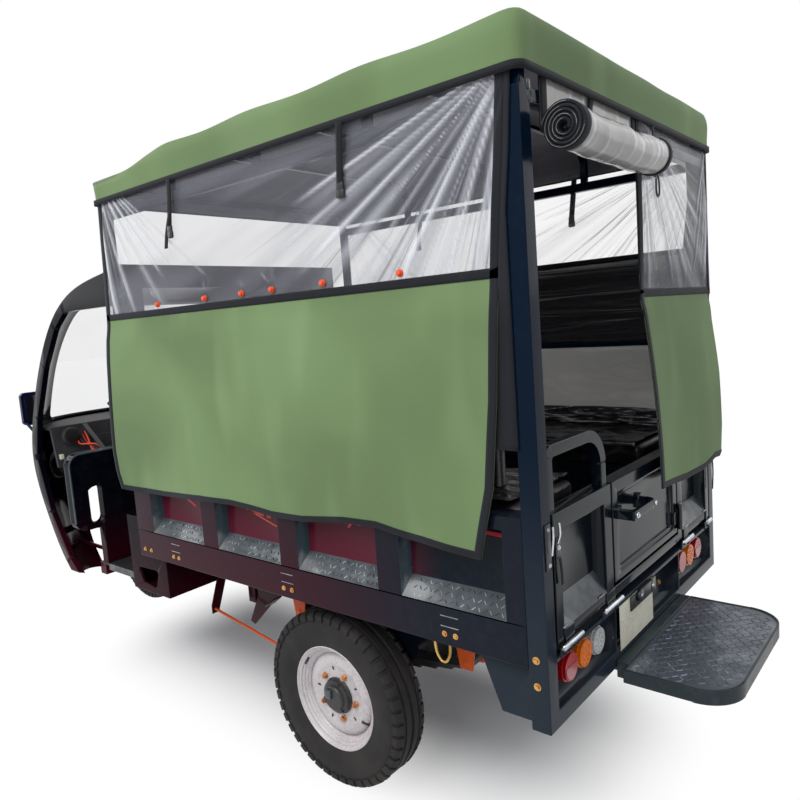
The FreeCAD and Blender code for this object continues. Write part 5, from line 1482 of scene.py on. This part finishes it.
@fitting("side_stripes", [stripe_red, stripe_orange], smooth=0)
def side_stripes(bm):
    """Red and orange bars in the bays, each turned along its own line."""
    floor_x = FACE - 0.05
    for sign in (1, -1):
        for bay in STRIPES:
            for (y0, z0), (y1, z1), tall, slot in bay:
                length = math.hypot(y1 - y0, z1 - z0)
                middle = at(sign * floor_x, (y0 + y1) / 2, (z0 + z1) / 2)
                half = Vector((0.0006, length / 2, tall / 2))
                turn = Matrix.Rotation(math.atan2(z1 - z0, y1 - y0), 4, "X")
                block(bm, middle - half, middle + half, 0.0002, slot, turn, 1)


# %% [markdown]
# ## Tread bars
# Chequered plate has rows of short raised bars that lean to the left and to the right in turn. They
# cover the step and, on a slope, the ledges of the side bays. Worn bars are paler.

# %% Tread bars
LEDGE_PITCH = 0.0165


def tread_bar(bm, place, along, up, size, slot=0):
    """A raised bar, flat underneath, that lies along a direction on a surface."""
    along = Vector(along).normalized()
    up = Vector(up).normalized()
    side = up.cross(along)
    frame_of = Matrix((along, side, up)).transposed().to_4x4()
    part = bmesh.new()
    bmesh.ops.create_cube(part, size=1.0)
    bmesh.ops.scale(part, vec=size, verts=part.verts[:])
    top = [v for v in part.verts if v.co.z > 0]
    bmesh.ops.scale(part, vec=(0.8, 0.45, 1.0), verts=top)
    join(bm, part, Matrix.Translation(place) @ frame_of, slot)


@fitting("step_bars", [step_metal, tread_bright], smooth=0)
def step_bars(bm):
    dice = random.Random(5)
    half, front, rear, corner = 0.268, 0.038, 0.288, 0.094
    rows, columns = 15, 30
    for j in range(rows):
        for i in range(columns):
            x = -half + 2 * half * (i + 0.5) / columns
            y = front + (rear - front) * (j + 0.5) / rows
            dx, dy = abs(x) - (half - corner), y - (rear - corner)
            if dx > 0 and dy > 0 and math.hypot(dx, dy) > corner - 0.009:
                continue
            lean = math.radians(42 if (i + j) % 2 else -42) + dice.uniform(-0.05, 0.05)
            tread_bar(bm, at(x, y, 0.4524), (math.cos(lean), math.sin(lean), 0), (0, 0, 1),
                      (0.0185, 0.005, 0.0018), int(dice.random() < 0.3))


@fitting("ledge_bars", [ledge_metal, ledge_bright], smooth=0)
def ledge_bars(bm):
    dice = random.Random(8)
    outer, inner = Vector((FACE, 0, 0.692)), Vector((FACE - 0.05, 0, 0.736))
    for sign in (1, -1):
        normal = Vector((sign * (inner.z - outer.z), 0, outer.x - inner.x)).normalized()
        slope = Vector((sign * (inner.x - outer.x), 0, inner.z - outer.z)).normalized()
        for rear, front in BAYS:
            count = int((rear - front - 0.02) / LEDGE_PITCH)
            for row in range(3):
                spot = outer.lerp(inner, (row + 0.6) / 3.2)
                for i in range(count):
                    y = rear - 0.014 - LEDGE_PITCH * i - (0.008 if row % 2 else 0)
                    if y < front + 0.01:
                        continue
                    lean = math.radians(50 if (i + row) % 2 else -50)
                    along = Vector((0, 1, 0)) * math.cos(lean) + slope * math.sin(lean)
                    tread_bar(bm, at(sign * spot.x, y, spot.z) + normal * 0.0004, along, normal,
                              (0.0125, 0.0034, 0.0014), int(dice.random() < 0.45))


# %% [markdown]
# ## The rear: lamps, plate, handle and latches
# Each lamp sits in a black collar and has a ring and small bosses moulded into its lens. A bracket with a
# small oval lamp overhangs the plate; the bracket is black all over, which also stands for the shadow over the
# plate's corner, a painted shadow. Over-centre latches close the gate against the posts, and their hooks and
# webbing tails ride on the gate.

# %% Rear fittings
LAMP_Z = 0.545
LAMP_FRONT = -0.0128

softened("number_plate", [plate_white], 0.0006)


@fitting("lamp_collars", black_plastic, smooth=35)
def lamp_rims(bm):
    for x in (0.49, 0.41, 0.33):
        for sign in (1, -1):
            bar(bm, at(sign * x, -0.0448, LAMP_Z), at(sign * x, -0.037, LAMP_Z), 0.0405, 0.0015, 40)


@fitting("lamp_bosses", [lens_amber, lens_clear, lens_pink], smooth=35)
def lamp_bosses(bm):
    """Moulded bosses in two circles, and the pale lower half of the outer lamps."""
    for x, slot in ((0.41, 0), (-0.41, 0), (0.33, 1)):
        for ring, count in ((0.0, 1), (0.0125, 6), (0.0245, 11)):
            for i in range(count):
                turn = 2 * math.pi * i / count
                place = at(x + ring * math.cos(turn), LAMP_FRONT - 0.001, LAMP_Z + ring * math.sin(turn))
                bar(bm, place, place + Vector((0, 0.0026, 0)), 0.005, 0.0016, 12, slot, far=0.0042)
    for x in (0.49, -0.49):
        part = bmesh.new()
        bmesh.ops.create_circle(part, cap_ends=True, segments=40, radius=0.03)
        bmesh.ops.bisect_plane(part, geom=everything(part), plane_co=(0, 0.004, 0), plane_no=(0, 1, 0),
                               clear_outer=True)
        raised = bmesh.ops.extrude_face_region(part, geom=part.faces[:])["geom"]
        lifted = [g for g in raised if isinstance(g, bmesh.types.BMVert)]
        bmesh.ops.translate(part, verts=lifted, vec=(0, 0, -0.0022))
        bmesh.ops.recalc_face_normals(part, faces=part.faces[:])
        place = Matrix.Translation(at(x, LAMP_FRONT - 0.0006, LAMP_Z))
        join(bm, part, place @ Matrix.Rotation(math.radians(90), 4, "X"), 2)


@fitting("plate_fittings", [hinge_black, chrome, zinc], smooth=35)
def plate_fittings(bm):
    """The bracket and the oval lamp over the number plate; the bracket's black is partly a painted shadow."""
    # The bracket is black all over, which also paints in the shadow over the plate's corner: partly painted
    # shadow.
    block(bm, at(-0.028, 0.0028, 0.563), at(0.16, 0.0062, 0.603), 0.0008, 0)
    for x in (0.104, 0.02):
        bar(bm, at(x, 0.005, 0.592), at(x, 0.0155, 0.592), 0.018, 0.003, 28, 0)
        bar(bm, at(x, 0.0145, 0.592), at(x, 0.0172, 0.592), 0.006, 0.0012, 18, 1)
    block(bm, at(0.02, 0.005, 0.5745), at(0.104, 0.015, 0.6095), 0.003, 0)
    bolt(bm, at(-0.19, -0.045, 0.518), (0, 1, 0), 0.006, 2)


@fitting("gate_slots", bare_steel, "tailgate", smooth=35)
def gate_slots(bm):
    """The light slots along the gate's foot."""
    for x in (0.532, 0.334, -0.334, -0.532):
        block(bm, at(x - 0.016, -0.0006, 0.6675), at(x + 0.016, 0.0012, 0.6715), 0.0005)


@fitting("handle_screws", chrome, "tailgate_door", smooth=35)
def handle_screw(bm):
    """A screw and its nut at one end of the handle, and a rivet at the other."""
    for x, y0, y1, radius, sides in ((0.196, 0.0445, 0.0495, 0.0085, 20), (0.196, 0.049, 0.053, 0.0055, 6),
                                     (0.06, 0.0445, 0.048, 0.007, 20)):
        bar(bm, at(x, y0, 0.851), at(x, y1, 0.851), radius, 0.0012, sides)


def latches():
    """The base plates on the posts, then the hooks and levers on the gate."""
    fixed, moving = bmesh.new(), bmesh.new()
    for sign in (1, -1):
        block(fixed, at(sign * 0.5925, -0.0004, 0.826), at(sign * 0.6165, 0.0034, 0.932))
        for z in (0.838, 0.92):
            bolt(fixed, at(sign * 0.6045, 0.0034, z), (0, 1, 0), 0.0036, 1)
        hook = path(((0.604, 0.01, 0.862), (0.6, 0.013, 0.9), (0.596, 0.011, 0.926)), sign)
        tube(fixed, curve(hook, 4), 0.0026, 10, 1)
        block(moving, at(sign * 0.5475, 0.0002, 0.842), at(sign * 0.5705, 0.0036, 0.888))
        bolt(moving, at(sign * 0.559, 0.0034, 0.866), (0, 1, 0), 0.004, 1)
        lever = path(((0.566, 0.006, 0.88), (0.569, 0.014, 0.902), (0.568, 0.012, 0.928)), sign)
        tube(moving, curve(lever, 4), 0.0028, 10, 1)
    finished("latch_bases", fixed, [hinge_black, chrome], smooth=40)
    finished("latch_hooks", moving, [hinge_black, chrome], "tailgate", smooth=40)


latches()
tail = path(((0.559, 0.006, 0.842), (0.557, 0.008, 0.812), (0.554, 0.007, 0.778)))
strap("latch_tail", tail, (1, 0, 0), 0.01, body="tailgate")

# %% [markdown]
# ## Wheels
# A pressed wheel is turned from one closed outline: a rolled lip, three rings that step down the
# rim's flank, the gap before the disc and the disc's dome. The nuts and slots lie on one circle
# each, and the hub cap is a casting with a square boss.

# %% Wheels
WHEEL_SLICES = 96
FLANK = ((0.05, 0.1632), (0.0513, 0.1618), (0.051, 0.1598), (0.0475, 0.1568), (0.0447, 0.153),
         (0.0432, 0.1506), (0.0395, 0.15), (0.0375, 0.1474), (0.0348, 0.1442), (0.0312, 0.1434),
         (0.029, 0.1406), (0.0266, 0.1374), (0.023, 0.1366), (0.0212, 0.134), (0.019, 0.1322),
         (0.013, 0.1316), (0.012, 0.129), (0.016, 0.1276), (0.0218, 0.124), (0.0252, 0.118),
         (0.0272, 0.11), (0.028, 0.101), (0.0276, 0.094), (0.0256, 0.089), (0.0246, 0.084),
         (0.0244, 0.06), (0.0244, 0.0201))
BACK = ((0.0048, 0.0201), (-0.034, 0.0201), (-0.034, 0.048), (0.0045, 0.048), (0.005, 0.066),
        (0.016, 0.096), (0.006, 0.126), (-0.018, 0.129), (-0.043, 0.1507), (-0.0513, 0.158),
        (-0.0513, 0.163), (-0.0453, 0.163), (-0.0453, 0.1567), (-0.0225, 0.135), (0.0225, 0.135),
        (0.0453, 0.1567), (0.0453, 0.163))
CAP = ((0.024, 0.024), (0.024, 0.056), (0.0275, 0.0565), (0.03, 0.054), (0.04, 0.051),
       (0.0425, 0.046), (0.044, 0.04), (0.051, 0.038), (0.0535, 0.035), (0.0535, 0.0), (0.048, 0.0),
       (0.048, 0.024))
NUT_CIRCLE, SLOT_CIRCLE = 0.0725, 0.0865
CLIP_TURN, VALVE_TURN = -0.95, 2.1


def turned(outline, centre, sign, slices):
    """An outline of (across, out) pairs, closed and turned round the axle."""
    bm = bmesh.new()
    verts = [bm.verts.new(centre + Vector((sign * x, 0, r))) for x, r in outline]
    spun(bm, verts + [bm.edges.new(pair) for pair in zip(verts, verts[1:] + verts[:1])], centre, slices)
    return bm


def round_the_axle(centre, sign, across, reach, turn):
    return centre + Vector((sign * across, reach * math.sin(turn), reach * math.cos(turn)))


def wheel(node, sign, scale, capped):
    """The turned wheel with its nuts, slots, clip and valve."""
    body = node.replace("rim", "wheel")
    low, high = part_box(node.replace("rim", "tyre"))
    centre = (low + high) / 2
    disc = turned([(x * scale, r) for x, r in FLANK + BACK], centre, sign, WHEEL_SLICES)
    finished(node + "_turned", disc, rim_white, body, smooth=38, replaces=[node])
    bm = bmesh.new()
    out = Vector((sign, 0, 0))
    face = FLANK[-1][0] * scale
    for i in range(5):
        turn = 2 * math.pi * (i + 0.35) / 5
        seat = round_the_axle(centre, sign, face - 0.0005, NUT_CIRCLE, turn)
        bar(bm, seat, seat + out * 0.0035, 0.0105, 0.001, 24)
        bar(bm, seat + out * 0.003, seat + out * 0.0125, 0.0086, 0.0012, 6)
        bar(bm, seat + out * 0.012, seat + out * 0.0165, 0.005, 0.001, 14)
        turn += math.pi / 5
        slot = round_the_axle(centre, sign, face + 0.0012, SLOT_CIRCLE, turn)
        lump(bm, slot, (0.0014, 0.0028, 0.0065), 0.0011, 1, Matrix.Rotation(-turn, 4, "X"))
    clip = round_the_axle(centre, sign, 0.036 * scale, 0.148, CLIP_TURN)
    lump(bm, clip, (0.0045, 0.0165, 0.004), 0.0015, 1, Matrix.Rotation(-CLIP_TURN, 4, "X"))
    valve = round_the_axle(centre, sign, 0.015 * scale, 0.1345, VALVE_TURN)
    inward = (centre + Vector((sign * 0.03, 0, 0)) - valve).normalized()
    bar(bm, valve, valve + inward * 0.026 + out * 0.012, 0.0042, 0.0008, 14, 1)
    finished(node + "_nuts", bm, [copper, hinge_black], body, smooth=35)
    if not capped:
        return
    finished(node + "_cap", turned(CAP, centre, sign, 64), cap_black, body, smooth=35)
    lug = bmesh.new()
    lump(lug, centre + Vector((sign * 0.055, -0.015, 0.012)), (0.005, 0.011, 0.014), 0.0018)
    for turn in (0.4, 2.5, 4.4):
        seat = round_the_axle(centre, sign, 0.0425, 0.047, turn)
        bar(lug, seat, seat + out * 0.004, 0.0042, 0.0008, 6, 1)
    finished(node + "_lug", lug, [grey_steel, hinge_black], body, smooth=35)


wheel("rear_rim_left", 1, 1.0, True)
wheel("rear_rim_right", -1, 1.0, True)
wheel("front_rim", 1, 0.92, False)
print("wheels turned")

# %% [markdown]
# ## Straps, knobs and the zip
# Webbing straps hang from the roof cover's edge to hold the rolled curtains, each with a plastic
# buckle at its end. Orange-red knobs fasten the film along its seam, and a zip closes the corner.

# %% Straps and knobs
KNOB_RISE = {1: 0.027, -1: -0.02}


def buckle(bm, place, across, down, out):
    """A side-release buckle: a body, a shorter socket and two prongs."""
    size = 0.012
    across, down, out = (Vector(v).normalized() for v in (across, down, out))
    frame_of = Matrix((across, down, out)).transposed().to_4x4()

    def piece(centre, half):
        centre = place + across * centre[0] + down * centre[1] + out * centre[2]
        lump(bm, centre, half, min(half) * 0.6, 0, frame_of)

    piece((0, 0, 0), (size, size * 0.75, 0.003))
    piece((0, size * 1.55, 0), (size * 0.85, size * 0.9, 0.0036))
    for side in (-1, 1):
        piece((side * size * 0.95, size * 1.5, 0), (0.0022, size * 0.8, 0.003))


@fitting("buckles", hinge_black, smooth=40)
def straps(bm):
    edge = COVER_EDGE + 0.004
    low = 1.752
    for sign, side in SIDES.items():
        for word, y0, y1 in (("front", -1.243, -1.268), ("rear", -0.49, -0.506)):
            middle = (y0 * 2 + y1) / 3
            line = path(((0.6505, y0, edge), (0.649, middle, edge - 0.055), (0.647, y1, low)), sign)
            strap("strap_%s_%s" % (word, side), line, (0, 1, 0), 0.022)
            buckle(bm, at(sign * 0.647, y1, low - 0.004), (0, 1, 0), (0, 0, -1), (sign, 0, 0))
    tail = path(((0.6495, -1.255, 1.8), (0.648, -1.285, 1.74), (0.6475, -1.3, 1.69)))
    strap("side_strap_tail", tail, (0, 1, 0), 0.018)
    roll_strap = path(((0.3, 0.012, edge), (0.302, 0.006, 1.86), (0.3, 0.004, 1.8)))
    strap("rear_strap", roll_strap, (1, 0, 0), 0.024)
    hook_strap = path(((-0.09, 0.016, edge), (-0.092, 0.018, 1.8), (-0.098, 0.016, 1.755)))
    strap("rear_hook_strap", hook_strap, (1, 0, 0), 0.014)
    hook = path(((-0.092, 0.021, 1.765), (-0.104, 0.023, 1.752), (-0.11, 0.023, 1.715),
                 (-0.1, 0.022, 1.7), (-0.088, 0.022, 1.715), (-0.092, 0.021, 1.75)))
    tube(bm, curve(hook, 4), 0.0028, 8)
    tail = path(((-0.588, 0.012, 0.855), (-0.594, 0.013, 0.8), (-0.588, 0.012, 0.735)))
    strap("hem_strap", tail, (1, 0, 0), 0.012)


@fitting("film_knobs", knob_orange)
def knobs(bm):
    for sign in (1, -1):
        out = Vector((sign, 0, 0))
        for y in SNAPS:
            place = at(sign * (FACE + 0.0085), y, SEAMS[sign] + KNOB_RISE[sign])
            bar(bm, place - out * 0.004, place + out * 0.002, 0.0095, 0.0015, 24)
            bar(bm, place, place + out * 0.0085, 0.0072, 0.0028, 20)


@fitting("zip_slider", hinge_black)
def zip_slider(bm):
    top = at(0.622, 0.018, 1.862)
    lump(bm, top, (0.006, 0.003, 0.01), 0.0018)
    turns = [2 * math.pi * i / 16 for i in range(17)]
    loop = [top + Vector((0.008 * math.sin(a), 0.003, -0.024 + 0.013 * math.cos(a))) for a in turns]
    tube(bm, loop, 0.0018, 8)


print("soft fittings done")

# %% [markdown]
# ## Covers on the seats
# The benches still wear their factory covers: a dark glossy sheet, laid over the pad and down its
# front, and a strip of clear film gathered along the foot of each backrest. A ridged noise, which is
# one minus the size of a smooth noise, folds a sheet sharply.

# %% Seat covers
def ridge(x, y, z, sharp):
    """A folded noise from 0 to 1 whose crests are sharp."""
    return (1.0 - abs(noise.noise(Vector((x, y, z))))) ** sharp


WRAP_THICK = 0.0006
ROUND, ROUND_RADIUS = 0.024, 0.0155


def seat_cover(sign):
    """A sheet over the pad that turns down over its inner edge."""
    low, high = halves("bench_cushions")
    back, front = local(low).y + 0.012, local(high).y - 0.012
    outer, inner, top = high.x - 0.008, low.x + 0.012, high.z + 0.0025
    drop = 0.06
    flat = outer - inner

    def place(u, v):
        y = front + (back - front) * u
        reach = (flat + ROUND + drop) * v
        fold = ridge(y * 9.0 + reach * 7.0, reach * 16.0, 3.0 * sign, 6.0) * 0.006
        if reach < flat:
            x, z = outer - reach, top + fold
        elif reach < flat + ROUND:
            turn = (reach - flat) / ROUND * math.pi / 2
            x = inner - (ROUND_RADIUS + fold) * math.sin(turn)
            z = top - ROUND_RADIUS + (ROUND_RADIUS + fold) * math.cos(turn)
        else:
            x, z = inner - ROUND_RADIUS - fold, top - ROUND_RADIUS - (reach - flat - ROUND)
        return at(sign * x, y, z), (y, reach), 0.0

    bm = sheet_mesh(place, 220, 60, outward=(-sign * 0.3, 0, 1))
    made = thicken(finished("seat_cover_" + SIDES[sign], bm, seat_gloss, smooth=180), WRAP_THICK)


def back_strip(sign):
    """Clear film gathered along the foot of a backrest."""
    low, high = halves("bench_backs")
    back, front = local(low).y + 0.012, local(high).y - 0.012
    face = low.x - 0.0012

    def place(u, v):
        y = front + (back - front) * u
        z = high.z - 0.226 - 0.062 * v + 0.004 * noise.noise(Vector((y * 4.0, 1.0, sign)))
        fold = ridge(y * 6.0 + v * 2.2, v * 5.0, 7.0 + sign, 5.0) * 0.011
        return at(sign * (face - fold), y, z), (y, v * 0.07), min(1.0, max(0.0, fold * 120 - 0.75))

    bm = sheet_mesh(place, 240, 22, outward=(-sign, 0, 0))
    made = thicken(finished("back_strip_" + SIDES[sign], bm, seat_wrap, smooth=180), WRAP_THICK)


for sign in (1, -1):
    seat_cover(sign)
    back_strip(sign)
print("seat covers laid")

# %% [markdown]
# ## The cab's controls
# The handlebar turns with the fork, so its grips, levers and switch boxes ride on the steering. The
# dash carries a gauge, a display and a switch, and cables run from it to the leg shield.

# %% Cab controls
BAR_Y, BAR_Z = -2.372, 1.067
LEVER_LINE = ((0, 0, 0), (0.03, -0.03, -0.003), (0.085, -0.012, -0.008), (0.14, 0.022, -0.01),
              (0.15, 0.03, -0.009))


@fitting("bar_fittings", [soft_rubber, knob_orange, bare_steel], "steering")
def grips(bm):
    for sign in (1, -1):
        bend = at(sign * 0.21, BAR_Y, BAR_Z)
        along = Vector((sign * 0.13, 0.07, 0)).normalized()
        start, end = bend + along * 0.022, bend + along * 0.14
        bar(bm, start, end, 0.015, 0.003, 24, 0)
        for i in range(9):
            ring = start + along * (0.01 + 0.0125 * i)
            bar(bm, ring, ring + along * 0.006, 0.0172, 0.002, 24, 0)
        bar(bm, start - along * 0.006, start + along * 0.003, 0.0215, 0.0015, 24, 0)
        lump(bm, at(sign * 0.176, BAR_Y, BAR_Z), (0.022, 0.02, 0.021), 0.005)
        for lift in (-0.008, 0.006):
            place = at(sign * 0.176, BAR_Y + 0.0205, BAR_Z + lift)
            lump(bm, place, (0.008, 0.003, 0.0045), 0.0015, 1)
        perch = bend - Vector((sign * 0.01, 0.018, 0))
        lever = [perch + Vector((sign * x, y, z)) for x, y, z in LEVER_LINE]
        tube(bm, curve(lever, 5), 0.0052, 12, 2)
        cable = path(((0.182, BAR_Y - 0.018, BAR_Z), (0.15, BAR_Y - 0.045, BAR_Z + 0.012),
                      (0.085, BAR_Y - 0.05, BAR_Z - 0.03), (0.045, BAR_Y - 0.034, BAR_Z - 0.11)), sign)
        tube(bm, curve(cable, 7), 0.0032, 8, 0)


@fitting("dash_fittings", [dash_plastic, plate_white, lens_clear, cap_black], smooth=40)
def dash_fittings(bm):
    gauge = at(0.443, -2.604, 0.975)
    bar(bm, gauge, gauge + Vector((0, 0.03, 0)), 0.04, 0.004, 40, 0)
    bar(bm, gauge + Vector((0, 0.028, 0)), gauge + Vector((0, 0.033, 0)), 0.035, 0.0012, 40, 3)
    block(bm, at(-0.095, -2.68, 1.02), at(0.095, -2.612, 1.06), 0.006, 0)
    block(bm, at(-0.08, -2.6125, 1.027), at(0.08, -2.609, 1.053), 0.0015, 3)
    for x, z in ((0.497, 0.884), (-0.4, 0.93), (-0.44, 0.93)):
        lump(bm, at(x, -2.5885, z), (0.01, 0.0055, 0.012), 0.002, 1)
    for x in (-0.33, -0.29, -0.25):
        bar(bm, at(x, -2.6, 0.93), at(x, -2.576, 0.93), 0.01, 0.002, 20, 0)
    block(bm, at(0.21, -2.602, 0.88), at(0.33, -2.588, 0.96), 0.004, 0)


@fitting("dash_cables", [knob_orange, stripe_red, soft_rubber], smooth=60)
def dash_cables(bm):
    for i, slot in enumerate((0, 1, 2, 0)):
        shift = 0.012 * i
        line = path(((0.37 + shift, -2.596, 0.985 - shift), (0.395 + shift, -2.52, 0.96 - shift * 0.6),
                     (0.42 - shift * 0.5, -2.42, 0.9 + shift), (0.405 + shift * 0.4, -2.33, 0.88),
                     (0.4 + shift, -2.272, 0.83)))
        tube(bm, curve(line, 7), 0.0034, 8, slot)


@fitting("shield_edging_highlight", grey_steel, smooth=60)
def shield_edging_highlight(bm):
    """A rounded grey edging along the shield's top and down its sides; its pale grey is a painted highlight
    along the shield's rim.
    """
    half, top, corner = 0.6285, 0.935, 0.048
    for y in (-2.2325, -2.2725):
        line = [at(half, y, 0.64), at(half, y, top - corner)]
        line += [at(half - corner + corner * math.cos(a), y, top - corner + corner * math.sin(a))
                 for a in [math.pi / 2 * i / 8 for i in range(1, 9)]]
        line += [Vector((-p.x, p.y, p.z)) for p in reversed(line)]
        tube(bm, line, 0.0042, 10)


@fitting("floor_controls", [soft_rubber, bare_steel])
def floor_controls(bm):
    for x in (-0.15, -0.06):
        pad = at(x, -2.17, 0.5)
        lump(bm, pad, (0.03, 0.036, 0.006), 0.003, 0, Matrix.Rotation(math.radians(38), 4, "X"))
        for i in range(-2, 3):
            lump(bm, pad + Vector((0, i * 0.011, 0.0065 + i * 0.0086)), (0.026, 0.0016, 0.0025), 0.0008)
        arm = [pad - Vector((0, 0, 0.004)), pad + Vector((0, -0.03, -0.022)), at(x, -2.226, 0.452)]
        tube(bm, curve(arm, 5), 0.006, 10, 1)
    lever = path(((0.3, -1.99, 0.431), (0.3, -2.01, 0.5), (0.3, -2.05, 0.6)))
    tube(bm, curve(lever, 5), 0.007, 12, 1)
    bar(bm, at(0.3, -2.036, 0.57), at(0.3, -2.075, 0.66), 0.0135, 0.004, 20, 0)


# %% [markdown]
# ## The nose and the windscreen
# These fittings follow a curved wall. A ray sent back from ahead of the nose finds where the wall
# is and which way it faces, so a ring, a wiper or a lamp can be laid on it point by point.

# %% On the curved front
LAMP_RINGS = ((0.0725, 0.0065, 0, "front_fairing"), (0.058, 0.0026, 1, "headlamps"),
              (0.036, 0.0022, 1, "headlamps"))


def surface_tree(node):
    """The triangles of a part, sorted so that a ray finds the one it meets quickly."""
    mesh = NODES[node].data
    return BVHTree.FromPolygons([v.co for v in mesh.vertices], [tuple(p.vertices) for p in mesh.polygons])


FRONTS = {name: surface_tree(name) for name in ("front_fairing", "headlamps", "windscreen")}


def on_front(node, x, z, lift=0.0):
    """The point of a part's front at a place across and up, and the direction it faces."""
    place, normal, face, reach = FRONTS[node].ray_cast(Vector((x, -6.0, z)), Vector((0, 1, 0)))
    if place is None:
        return None, None
    return place + normal * lift, normal


def line_on_front(node, points, lift):
    places = [on_front(node, x, z, lift)[0] for x, z in points]
    return [place for place in places if place]


def circle(x, z, radius, count=40):
    turns = [2 * math.pi * i / count for i in range(count + 1)]
    return [(x + radius * math.cos(a), z + radius * math.sin(a)) for a in turns]


@fitting("headlamp_rings", [black_plastic, chrome])
def headlamp_details(bm):
    """The lens is set in a black ring, with a chromed ring and a bulb's cap inside it."""
    for sign in (1, -1):
        x, z = sign * 0.37, 0.8
        for radius, thick, slot, node in LAMP_RINGS:
            tube(bm, line_on_front(node, circle(x, z, radius), 0.0006), thick, 10, slot)
        place, normal = on_front("headlamps", x, z)
        bar(bm, place - normal * 0.002, place + normal * 0.004, 0.014, 0.002, 24, 1)
        inside = at(x, -2.87, z)
        bar(bm, inside, inside + Vector((0, 0.05, 0)), 0.066, 0.004, 36, 0, far=0.044)


@fitting("turn_lamps", [black_plastic, lens_amber])
def turn_lamps(bm):
    for sign in (1, -1):
        place, normal = on_front("front_fairing", sign * 0.43, 0.655)
        bar(bm, place - normal * 0.004, place + normal * 0.006, 0.03, 0.002, 32, 0)
        bar(bm, place + normal * 0.005, place + normal * 0.013, 0.025, 0.003, 32, 1)


@fitting("nose_slots", black_plastic)
def nose_slots(bm):
    """Dark bars across the nose, under a panel line."""
    for i in range(4):
        z = 0.73 + 0.022 * i
        line = line_on_front("front_fairing", [(-0.15 + 0.3 * k / 16, z) for k in range(17)], 0.001)
        tube(bm, line, 0.0046, 8)


@fitting("screen_gasket", soft_rubber, smooth=60)
def screen_gasket(bm):
    """A rubber bead along the outer edge of the glass."""
    rough = bmesh.new()
    rough.from_mesh(NODES["windscreen"].data)
    bmesh.ops.remove_doubles(rough, verts=rough.verts[:], dist=2e-5)
    rough.normal_update()
    middle = sum((v.co for v in rough.verts), Vector()) / len(rough.verts) + Vector((0, 0.25, 0))
    for edge in rough.edges:
        sharp = len(edge.link_faces) == 2 and edge.calc_face_angle(0.0) >= math.radians(50)
        if not sharp or edge.calc_length() < 0.0015:
            continue
        a, b = (vert.co.copy() for vert in edge.verts)
        away = ((a + b) / 2 - middle).normalized()
        walls = [f.normal for f in edge.link_faces if max(abs(f.normal.x), abs(f.normal.y)) > 0.3]
        if max((wall.dot(away) for wall in walls), default=0.0) > 0.45:
            bar(bm, a, b, 0.0062, 0.001, 8)
    rough.free()


@fitting("wiper", soft_rubber, smooth=60)
def wiper(bm):
    blade = line_on_front("windscreen", [(-0.06 - 0.004 * k, 1.085 + 0.0195 * k) for k in range(17)], 0.008)
    arm = line_on_front("windscreen", [(0.02 - 0.008 * k, 1.058 + 0.014 * k) for k in range(13)], 0.016)
    tube(bm, blade, 0.004, 8, 0)
    tube(bm, arm, 0.0034, 8, 0)
    place, normal = on_front("windscreen", 0.02, 1.058)
    bar(bm, place - normal * 0.002, place + normal * 0.022, 0.011, 0.002, 20, 0)


@fitting("mirror_glasses", mirror_face, smooth=30)
def mirror_glasses(bm):
    """A flat mirror on the rear face of each head."""
    top = span("mirrors")[1].z
    for sign in (1, -1):
        part = bmesh.new()
        bmesh.ops.create_cube(part, size=1.0)
        bmesh.ops.scale(part, vec=(0.102, 0.003, 0.13), verts=part.verts[:])
        upright = [e for e in part.edges if abs(e.verts[0].co.y - e.verts[1].co.y) > 0.001]
        rounded(part, upright, 0.014, 5)
        join(bm, part, Matrix.Translation(at(sign * 0.443, -2.934, top - 0.0825)))


print("front dressed")


# %% [markdown]
# ## Finishes of the drawn parts
# What is left of the drawn model keeps its shape and gets its finish here.

# %% Drawn parts
NODE_FINISH = {
    "leaf_springs": spring_black, "rear_axle": black_paint, "drive_motor": black_paint,
    "brake_rods": orange_paint, "bed_floor": body_paint, "lamps_red": lens_red, "lamps_amber": lens_amber,
    "lamp_clear": lens_clear, "windscreen": window_glass, "headlamps": lens_clear, "fork": fork_paint,
    "handlebar": soft_rubber, "front_mudguard": cab_paint,
}
for name, finish in NODE_FINISH.items():
    NODES[name].data.materials.clear()
    NODES[name].data.materials.append(finish.material)
print("drawn parts with a finish:", len(NODE_FINISH))

# %% [markdown]
# ## The end

# %% The end
import json
